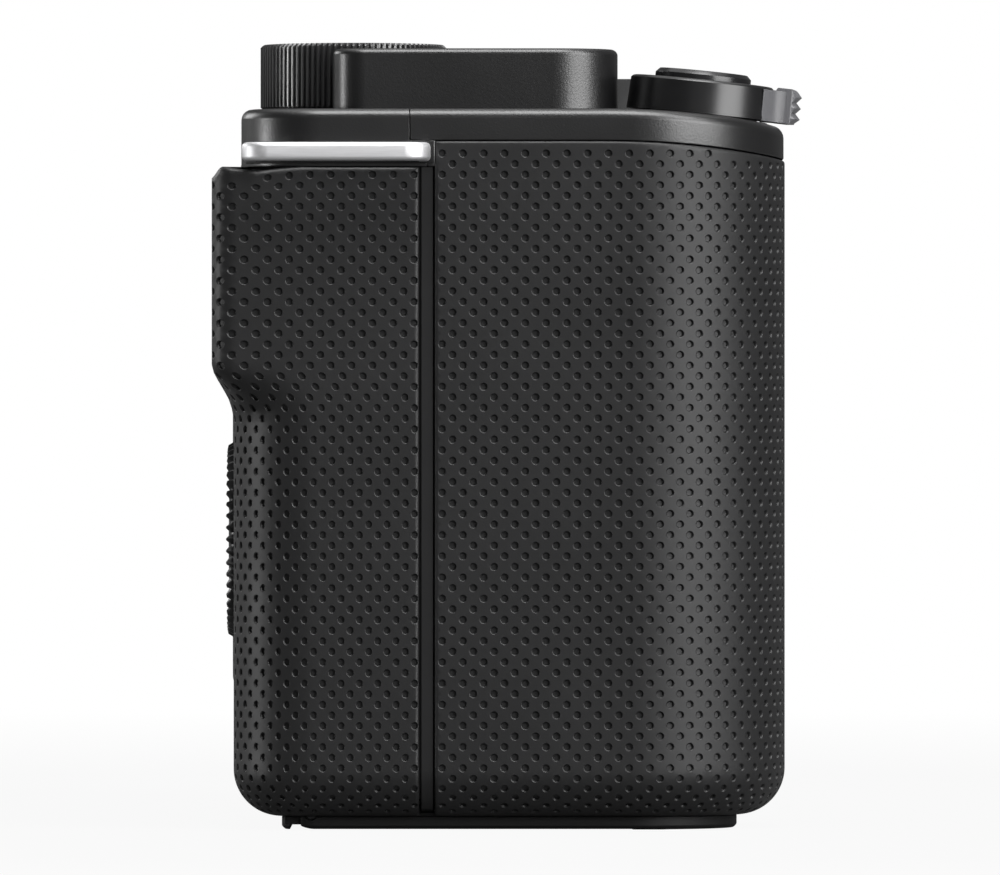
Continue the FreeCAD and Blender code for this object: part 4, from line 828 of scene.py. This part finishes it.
DOORS = {"port_door": 0.15, "charge_door": 0.15, "battery_door": 0.15, "battery_latch": 0.2}
BUTTONS = {
    "record_button": 0.25, "custom_button": 0.25, "power_switch": 0.3, "mode_switch": 0.3,
    "centre_button": 0.3, "menu_button": 0.25, "function_button": 0.25, "playback_button": 0.25,
    "delete_button": 0.25, "lens_release_button": 0.35,
}
MOUNT = {"mount_surround": 0.3, "lens_mount_ring": 0.15, "lens_lock_pin": 0.2, "tally_lamp": 0.15}
INSIDE = {"chassis_frame": 0.12, "sensor_carrier": 0.1, "tripod_socket": 0.15}
TOP = {"hot_shoe": 0.15, "mic_grille": 0.15}
SCREEN = {"screen_housing": 0.3, "screen_plate": 0.1, "screen_glass": 0.08}
FINISH_OF = {"hot_shoe": "rail", "mic_grille": "plastic", "battery_door_pin": "black_screw"}


def crisp_all(widths):
    """Breaks the edges of several nodes."""
    for node, width in widths.items():
        crisp(node, width, slot=FINISH_OF.get(node))


def covers():
    """Covers and deck; the outer upper edge has a broad round."""
    top = lambda x, y, z: z > 65.2 - (max(0.0, RIM_FALLS - y) ** 2) / (2 * RIM_ARC) and edge_reach(x, y) < 0.6
    crisp("top_cover", 0.1, [(top, 0.95)])
    crisp("rear_cover", 0.1, [(top, 0.95)])
    crisp("top_deck", 0.1, [(lambda x, y, z: z > 70.9, 0.2)])
    crisp("front_cover", 0.1)
    # The base plate gets the dull painted shade finish in place of the covers' paint
    crisp("base_plate", 0.1, slot="underside")


def edge_reach(x, y):
    """Distance in plan from the outline of the covers."""
    right, front, far, rear = x - RIGHT, y - FRONT, LEFT - x, REAR - y
    for corner_x, corner_y, radius, way_x, way_y in (
        (-59.0, -12.1, 13.9, -1, -1), (-65.6, 16.3, 7.3, -1, 1), (42.0, 17.7, 5.9, 1, 1), (40.0, -4.0, 7.9, 1, -1),
    ):
        if (x - corner_x) * way_x > 0 and (y - corner_y) * way_y > 0:
            return abs(radius - math.hypot(x - corner_x, y - corner_y))
    if x > -41:
        front = min(abs(y + 12.0), 3.0)
    return min(abs(right), abs(front), abs(far), abs(rear))


# Turned controls


def control_dial():
    """Rear dial with a straight knurl and bevelled teeth."""
    s = chosen("body_controls")
    count = s.dial_teeth * 4
    place = turned_about((-51.0, 13.5, 65.9), (0, 0, 1))
    profile = [(7.9, 0.0), (8.4, 0.08), (8.58, 0.2), (8.58, 5.7), (8.42, 5.87), (8.24, 5.98)]
    profile += [(7.75, 6.0), (7.3, 6.0), (7.1, 5.86), (6.9, 5.8), (1.2, 5.8)]
    share_of_depth = [0.0, 0.5, 1.0, 1.0, 0.55, 0.1, 0.0, 0.0, 0.0, 0.0, 0.0]

    def wave(row, angles):
        return np.tile([0.0, 0.0, 1.0, 1.0], s.dial_teeth) * -share_of_depth[row] * s.dial_depth / MM, 0.0

    points, faces = lathe(profile, count, wave, (0.0, 0.26, 0.5, 0.76))
    points, faces = capped(points, faces, count)
    return piece("knurled_dial", place(points), faces, "control_dial", "knurl", 28.0, ["control_dial"])


def shutter_button():
    """Dished release button with a chamfered rim."""
    place = turned_about(RING_SPOT, RING_AXIS)
    profile = rounded_profile(
        [(0.0, 0.4, 0), (4.4, 0.4, 0.1), (4.4, 3.78, 0.06), (4.02, 4.16, 0.08), (3.7, 4.15, 0.3),
         (2.2, 3.92, 1.2), (0.0, 3.84, 0)], 4)
    points, faces = lathe([(max(r, 0.001), h) for r, h in profile], 96)
    return piece("release_button", place(points), faces, "shutter_button", "gloss", 30.0, ["shutter_button"])


def zoom_lever():
    """Ring with a polished bevel, and a tab with three cross teeth."""
    place = turned_about(RING_SPOT, RING_AXIS)
    profile = [(5.4, 0.2), (6.75, 0.2), (6.6, 3.06), (6.52, 3.16), (6.38, 3.27), (6.26, 3.3), (5.4, 3.3), (5.4, 0.2)]
    points, faces = lathe(profile, 128)
    ring = piece("zoom_ring", place(points), faces, "zoom_lever", "ring", 24.0, ["zoom_lever"])

    def tab(x):
        front = lambda y: -8.22 if abs(x) > 2.13 else -8.3 if abs(x) > 2.0 else y + 0.13 * x * x
        return [
            (-5.9, 0.3), (-6.9, 0.12), (-8.1, 0.1), (front(-8.75), 0.12), (front(-8.78), 0.24),
            (front(-9.24), 0.62), (front(-8.78), 1.12), (front(-9.24), 1.62), (front(-8.78), 2.12),
            (front(-9.24), 2.62), (front(-8.86), 3.08), (front(-8.66), 3.24), (front(-8.44), 3.31),
            (-6.95, 3.32), (-6.86, 3.28), (-6.78, 3.06), (-5.9, 3.04),
        ]

    half = [2.3, 2.15, 2.12, 1.94, 1.6, 1.1, 0.5]
    sections = [[(x, y, z) for y, z in tab(x)] for x in [-x for x in half] + half[::-1]]
    points = [spot for section in sections for spot in section]
    faces = ended(len(sections), len(sections[0]))
    broken(piece("zoom_tab", place(points), faces, "zoom_lever", "tab", 24.0), 0.03, 30.0)
    taper = ((-5.6, 3.7), (-6.1, 3.3), (-6.5, 2.86), (-6.9, 2.54), (-7.3, 2.37), (-7.7, 2.31))
    corners = ((-1, 0.14), (1, 0.14), (1, 3.03), (-1, 3.03))
    points = [(way * wide, y, z) for y, wide in taper for way, z in corners]
    piece("zoom_tab_root", place(points), between(len(taper), 4), "zoom_lever", "tab", 50.0)
    return ring


def broken(made, width, angle):
    """Breaks a piece's convex edges."""
    work = bmesh.new()
    work.from_mesh(made.data)
    bevelled(work, convex_edges(work, angle), width, clamp=True)
    smooth_but(work, 36.0)
    work.to_mesh(made.data)
    work.free()
    return even_weights(made)


def thumb_wheel():
    """Rear wheel with a fine knurl on its edge and a dished face."""
    s = chosen("body_controls")
    count = s.wheel_teeth * 4
    place = turned_about((-52.0, 22.6, 26.3), (0, 1, 0))
    profile = [(4.5, 0.0), (8.5, 0.0), (8.8, 0.15), (8.95, 0.35), (8.95, 2.0), (8.7, 2.42), (8.3, 2.5)]
    profile += [(7.8, 2.3), (7.4, 2.1), (6.0, 1.95), (5.0, 2.1), (4.6, 2.32), (4.5, 2.2), (4.5, 0.0)]
    deep = [0, 0, 0.5, 1, 1, 0.9, 0.3, 0, 0, 0, 0, 0, 0, 0]
    low = [0, 0, 0, 0, -0.3, -0.46, -0.44, -0.14, 0, 0, 0, 0, 0, 0]

    def wave(row, angles):
        valley = np.tile([0.0, 0.0, 1.0, 1.0], s.wheel_teeth)
        return valley * -deep[row] * s.wheel_depth / MM, valley * low[row]

    points, faces = lathe(profile, count, wave, (0.0, 0.14, 0.5, 0.64))
    return piece("knurled_wheel", place(points), faces, "control_wheel", "control", 32.0, ["control_wheel"])


# Screws


def screw_heads(name, node, spots, axis, radius, tall, slot):
    """Round screw heads with a cross recess; each spot is the middle of a head's seat."""
    count = 48
    profile = [(radius, 0.0), (radius, tall - 0.12), (radius - 0.12, tall), (0.66 * radius, tall)]
    profile += [(0.66 * radius - 0.05, tall - 0.05), (0.6 * radius - 0.06, 0.35 * tall)]

    def wave(row, angles):
        cross = 0.5 * (1 - np.abs(np.cos(2 * angles)) ** 1.5)
        return -radius * cross * (0.78 if row > 2 else 0.0), 0.0

    form, sides = capped(*lathe(profile, count, wave), count, False)
    points, faces = [], []
    for spot in spots:
        place = turned_about(spot, axis, (1, 0, 0.001))
        faces += moved(sides, len(points))
        points += [tuple(p) for p in place(form)]
    return piece(name, points, faces, BODY_OF[node], slot, 30.0, [node])


def base_screws():
    """Six screws in the base plate."""
    spots = [(x, y, 0.9) for x, y in ((-30, -6.5), (-30, 16), (18, -6.5), (38, -4), (38, 14), (16, 16))]
    return screw_heads("base_screw_heads", "base_screws", spots, (0, 0, -1), 1.6, 0.65, "black_screw")


def mount_screws():
    """Four screws in the lens mount."""
    spots = [
        (26.4 * math.cos(a), -15.5, LENS_Z + 26.4 * math.sin(a))
        for a in [math.radians(d) for d in (45, 135, 225, 315)]
    ]
    return screw_heads("mount_screw_heads", "mount_screws", spots, (0, -1, 0), 1.75, 0.9, "steel")


# Trim


def swept(section, path):
    """Sweeps a closed section of (out, up) along a plan path of (x, y, nx, ny)."""
    points = [(x + nx * out, y + ny * out, up) for x, y, nx, ny in path for out, up in section]
    return points, ended(len(path), len(section))


def round_section(wide, tall, radius, steps=3):
    """A rounded rectangle round the origin."""
    out = []
    for k, (sx, sy) in enumerate(((1, 1), (-1, 1), (-1, -1), (1, -1))):
        cx, cy = sx * (wide / 2 - radius), sy * (tall / 2 - radius)
        for i in range(steps + 1):
            a = math.pi / 2 * (k + i / steps)
            out.append((cx + radius * math.cos(a), cy + radius * math.sin(a)))
    return out


def strap_lug(side):
    """A strap lug: a flat steel bar bent into a low loop."""
    edge, tip = (-70.6, -76.5) if side == "right" else (45.6, 51.5)
    corners = [(edge, 22.7, 0), (tip, 22.7, 1.7), (tip, 7.0, 1.7), (edge, 7.0, 0)]
    line = [Vector(c) for c in rounded_profile(corners, 8)]
    line[1:1] = [line[0].lerp(line[1], 0.9)]
    line[-1:-1] = [line[-1].lerp(line[-2], 0.9)]
    path = []
    for k, here in enumerate(line):
        before, after = line[max(k - 1, 0)], line[min(k + 1, len(line) - 1)]
        d = (after - before).normalized()
        path.append((here.x, here.y, d.y, -d.x))
    # The seat is a thin plate along the wall behind the bar, in the dull painted shade finish: painted shade for the
    # recess there
    seat = [(a, b + LUG_Z) for a, b in round_section(0.36, 2.1, 0.12)]
    wall, radius, way = (RIGHT, 7.3, -1) if side == "right" else (LEFT, 5.9, 1)
    rear, sunk = REAR - radius, 0.14
    route = [(wall - way * sunk, y, way, 0) for y in (6.02, 6.2, rear)]
    for a in np.linspace(0.1, 1.2, 8):
        c, s = math.cos(a), math.sin(a)
        route.append((wall + way * (radius * (c - 1) - sunk * c), rear + (radius - sunk) * s, way * c, s))
    piece("lug_seat_" + side, *swept(seat, route), "camera_body", "underside", 40.0)
    section = [(a, b + LUG_Z) for a, b in round_section(1.4, 1.7, 0.42)]
    node = "strap_lug_" + side
    return even_weights(piece(node + "_bar", *swept(section, path), "camera_body", "steel", 40.0, [node]))


def side_strip():
    """Narrow strip between the two leathers, carried round the lower edge."""
    low, high, sunk = 5.98, 7.24, 0.42
    stops = [0.0] + list(np.linspace(0.4, BELLY_ARC, 10)) + [BELLY_ARC + h for h in (20.0, 40.0, 54.4, 54.75, 54.9)]
    points = []
    for v in stops:
        inset, z, lean = belly_at(v)
        fall = 0.18 if v > BELLY_ARC + 54.8 else 0.0
        c, s = math.cos(lean), math.sin(lean)
        for y, down in ((low, 0.7), (low, 0.12), (low + 0.12, 0.0), (high - 0.12, 0.0), (high, 0.12), (high, 0.7)):
            points.append((SIDE + inset + (sunk + down + fall) * c, y, z + (sunk + down) * s))
    n = len(points) // len(stops)
    end = tuple(range(n))
    faces = [*between(len(stops), n, 1), end, *moved([end[::-1]], len(points) - n)]
    return piece("groove_strip", points, faces, "camera_body", "control", 40.0, ["side_strip"])


# Stage

FLOOR = 6.0  # half the floor's width, in metres
WORLD_LIGHT = 0.1
CAMERA_SPOT = (-1.414, 0.0, 0.0357)
CAMERA_LENS = 532.0
# Name, place, aim, width and height in metres, and power in watts
LAMPS = [
    ("overhead", (-0.26, -0.03, 0.70), (0, 0, 0.03), 0.36, 0.44, 5.5),
    ("sky", (0.1, 0.0, 0.9), (0, 0, 0.03), 1.0, 1.0, 4.0),
    ("high_front", (-0.42, -0.5, 0.72), (-0.03, 0, 0.035), 0.4, 0.4, 5.0),
    ("front_box", (-0.62, -0.64, 0.26), (-0.05, 0, 0.035), 0.66, 0.44, 10.5),
    ("rear_strip", (-0.09, 0.88, 0.036), (-0.05, 0, 0.036), 0.2, 0.07, 2.2),
    ("camera_side", (-2.4, 0.0, 0.5), (0, 0, 0.035), 1.5, 1.3, 1.6),
    ("far", (0.62, 0.8, 0.4), (0, 0, 0.03), 0.5, 0.4, 3.5),
]


def stage_white(name):
    """A pale surface that the camera and reflections see as plain white."""
    s = chosen("body_stage")
    lift = s.floor_white
    f = Finish(name)
    path = f.node("LightPath")
    seen = Value(f, path.socket.node.outputs["Is Camera Ray"])
    gloss = Value(f, path.socket.node.outputs["Is Glossy Ray"])
    clear = Value(f, path.socket.node.outputs["Is Transmission Ray"])
    plain = f.node("BsdfDiffuse", None, {"Color": rgb(s.floor_shade)})
    bright = f.node("Emission", None, {"Color": rgb(1.0), "Strength": 1.0})
    px, py, pz = f.axes(f.spot)
    away = ((px * px + py * py) ** 0.5 - 0.16) / 0.35
    factor = (seen + gloss * s.reflected + clear).clamped(0.0, 1.0) * (lift + away.clamped(0.0, 1.0) * (1.0 - lift))
    mix = f.node("MixShader", None, [factor, plain, bright])
    f.tree.links.new(mix.socket, f.output.inputs["Surface"])
    return f.material


def build_world():
    """Weak even light that looks white to the camera and faint in reflections."""
    world = bpy.data.worlds.new("studio")
    bpy.context.scene.world = world
    world.use_nodes = True
    tree = world.node_tree
    tree.nodes.clear()
    out, path, soft, white, mix, either = [
        tree.nodes.new("ShaderNode" + kind)
        for kind in ("OutputWorld", "LightPath", "Background", "Background", "MixShader", "Math")
    ]
    for made, strength in ((soft, WORLD_LIGHT), (white, 1.0)):
        made.inputs["Color"].default_value = rgb(1.0)
        made.inputs["Strength"].default_value = strength
    either.operation = "MULTIPLY_ADD"
    either.inputs[1].default_value = chosen("body_stage").reflected
    for start, end in (
        (path.outputs["Is Glossy Ray"], either.inputs[0]), (path.outputs["Is Camera Ray"], either.inputs[2]),
        (either.outputs[0], mix.inputs[0]), (soft.outputs[0], mix.inputs[1]),
        (white.outputs[0], mix.inputs[2]), (mix.outputs[0], out.inputs["Surface"]),
    ):
        tree.links.new(start, end)


def build_stage():
    """Floor, world, lamps and camera."""
    scene = bpy.context.scene
    scene.view_settings.view_transform = "Standard"
    mesh = bpy.data.meshes.new("floor")
    corners = [(-FLOOR, -FLOOR, 0), (FLOOR, -FLOOR, 0), (FLOOR, FLOOR, 0), (-FLOOR, FLOOR, 0)]
    mesh.from_pydata(corners, [], [(0, 1, 2, 3)])
    mesh.materials.append(stage_white("floor_white"))
    floor = bpy.data.objects.new("floor", mesh)
    scene.collection.objects.link(floor)
    build_world()
    for row in LAMPS:
        lamp(*row)
    camera = bpy.data.cameras.new("camera")
    camera.sensor_width = 36.0
    camera.lens = CAMERA_LENS
    camera.clip_start = 0.05
    camera.clip_end = 50.0
    view = bpy.data.objects.new("camera", camera)
    view.location = CAMERA_SPOT
    view.rotation_euler = (math.pi / 2, 0.0, -math.pi / 2)
    scene.collection.objects.link(view)
    scene.camera = view


def lamp(name, spot, aim, wide, high, power):
    """A rectangular lamp turned to its aim."""
    data = bpy.data.lights.new(name, "AREA")
    data.shape = "RECTANGLE"
    data.size = wide
    data.size_y = high
    data.energy = power * chosen("body_stage").light
    made = bpy.data.objects.new(name, data)
    made.location = spot
    made.rotation_euler = (Vector(aim) - Vector(spot)).to_track_quat("-Z", "Y").to_euler()
    bpy.context.scene.collection.objects.link(made)


def cad_finishes():
    """Gives every node of the CAD model its finish."""
    for name, slot in SLOT_OF.items():
        materials = frame["nodes"][name].data.materials
        materials.clear()
        materials.append(finish_of(FINISH_OF.get(name, slot)))


# Operators


class CAMERABODY_OT_finishes(bpy.types.Operator):
    """Gives the nodes of the CAD model their finishes"""

    bl_idname = "camera_body.finishes"
    bl_label = "Finishes"

    def execute(self, context):
        cad_finishes()
        return {"FINISHED"}


class CAMERABODY_OT_grip(bpy.types.Operator):
    """Covers the grip with dimpled leather"""

    bl_idname = "camera_body.grip"
    bl_label = "Grip leather"

    def execute(self, context):
        grip_leather()
        return {"FINISHED"}


class CAMERABODY_OT_thumb_rest(bpy.types.Operator):
    """Covers the thumb rest with dimpled leather"""

    bl_idname = "camera_body.thumb_rest"
    bl_label = "Thumb rest leather"

    def execute(self, context):
        thumb_leather()
        return {"FINISHED"}


class CAMERABODY_OT_strip(bpy.types.Operator):
    """Makes the narrow strip between the two leathers"""

    bl_idname = "camera_body.strip"
    bl_label = "Side strip"

    def execute(self, context):
        side_strip()
        return {"FINISHED"}


class CAMERABODY_OT_covers(bpy.types.Operator):
    """Makes the covers, the deck and the base with their edges broken"""

    bl_idname = "camera_body.covers"
    bl_label = "Covers"

    def execute(self, context):
        covers()
        return {"FINISHED"}


class CAMERABODY_OT_doors(bpy.types.Operator):
    """Makes the doors and the battery latch"""

    bl_idname = "camera_body.doors"
    bl_label = "Doors"

    def execute(self, context):
        crisp_all(DOORS)
        return {"FINISHED"}


class CAMERABODY_OT_buttons(bpy.types.Operator):
    """Makes the buttons and the two switches"""

    bl_idname = "camera_body.buttons"
    bl_label = "Buttons"

    def execute(self, context):
        crisp_all(BUTTONS)
        return {"FINISHED"}


class CAMERABODY_OT_screen(bpy.types.Operator):
    """Makes the tilting screen"""

    bl_idname = "camera_body.screen"
    bl_label = "Screen"

    def execute(self, context):
        crisp_all(SCREEN)
        return {"FINISHED"}


class CAMERABODY_OT_mount(bpy.types.Operator):
    """Makes the lens mount, its lock pin and its screws"""

    bl_idname = "camera_body.mount"
    bl_label = "Lens mount"

    def execute(self, context):
        crisp_all(MOUNT)
        mount_screws()
        return {"FINISHED"}


class CAMERABODY_OT_inside(bpy.types.Operator):
    """Makes the chassis, the sensor's carrier and the tripod socket"""

    bl_idname = "camera_body.inside"
    bl_label = "Inner parts"

    def execute(self, context):
        crisp_all(INSIDE)
        return {"FINISHED"}


class CAMERABODY_OT_top(bpy.types.Operator):
    """Makes the hot shoe and the microphones' grille"""

    bl_idname = "camera_body.top"
    bl_label = "Hot shoe and microphones"

    def execute(self, context):
        crisp_all(TOP)
        return {"FINISHED"}


class CAMERABODY_OT_base_screws(bpy.types.Operator):
    """Makes the screws of the base plate"""

    bl_idname = "camera_body.base_screws"
    bl_label = "Base screws"

    def execute(self, context):
        base_screws()
        return {"FINISHED"}


class CAMERABODY_OT_dial(bpy.types.Operator):
    """Makes the knurled rear dial"""

    bl_idname = "camera_body.dial"
    bl_label = "Rear dial"

    def execute(self, context):
        control_dial()
        return {"FINISHED"}


class CAMERABODY_OT_release(bpy.types.Operator):
    """Makes the dished release button"""

    bl_idname = "camera_body.release"
    bl_label = "Release button"

    def execute(self, context):
        shutter_button()
        return {"FINISHED"}


class CAMERABODY_OT_zoom(bpy.types.Operator):
    """Makes the zoom lever with its toothed tab"""

    bl_idname = "camera_body.zoom"
    bl_label = "Zoom lever"

    def execute(self, context):
        zoom_lever()
        return {"FINISHED"}


class CAMERABODY_OT_wheel(bpy.types.Operator):
    """Makes the knurled wheel of the back"""

    bl_idname = "camera_body.wheel"
    bl_label = "Thumb wheel"

    def execute(self, context):
        thumb_wheel()
        return {"FINISHED"}


class CAMERABODY_OT_lugs(bpy.types.Operator):
    """Bends the two strap lugs"""

    bl_idname = "camera_body.lugs"
    bl_label = "Strap lugs"

    def execute(self, context):
        strap_lug("right")
        strap_lug("left")
        return {"FINISHED"}


class CAMERABODY_OT_stage(bpy.types.Operator):
    """Makes the floor, the light and the camera"""

    bl_idname = "camera_body.stage"
    bl_label = "Stage"

    def execute(self, context):
        build_stage()
        return {"FINISHED"}


OPERATORS = [
    CAMERABODY_OT_finishes,
    CAMERABODY_OT_grip,
    CAMERABODY_OT_thumb_rest,
    CAMERABODY_OT_strip,
    CAMERABODY_OT_covers,
    CAMERABODY_OT_doors,
    CAMERABODY_OT_buttons,
    CAMERABODY_OT_screen,
    CAMERABODY_OT_mount,
    CAMERABODY_OT_inside,
    CAMERABODY_OT_top,
    CAMERABODY_OT_base_screws,
    CAMERABODY_OT_dial,
    CAMERABODY_OT_release,
    CAMERABODY_OT_zoom,
    CAMERABODY_OT_wheel,
    CAMERABODY_OT_lugs,
    CAMERABODY_OT_stage,
]


class CAMERABODY_PT_sidebar(bpy.types.Panel):
    """Lists the sizes, the colours and the pieces"""

    bl_label = "Camera Body"
    bl_space_type = "VIEW_3D"
    bl_region_type = "UI"
    bl_category = "Camera Body"

    def draw(self, context):
        for group, settings in SETTINGS.items():
            box = self.layout.box()
            box.label(text=settings.__doc__)
            for name in settings.__annotations__:
                box.prop(getattr(context.scene, group), name)
        for operator in OPERATORS:
            self.layout.operator(operator.bl_idname)


CLASSES = [*SETTINGS.values(), *OPERATORS, CAMERABODY_PT_sidebar]


def register():
    for cls in CLASSES:
        bpy.utils.register_class(cls)
    for group, settings in SETTINGS.items():
        setattr(bpy.types.Scene, group, bpy.props.PointerProperty(type=settings))


def unregister():
    for group in SETTINGS:
        delattr(bpy.types.Scene, group)
    for cls in reversed(CLASSES):
        bpy.utils.unregister_class(cls)


def main():
    register()
    for operator in OPERATORS:
        group, name = operator.bl_idname.split(".")
        getattr(getattr(bpy.ops, group), name)()


if __name__ == "__main__":
    main()
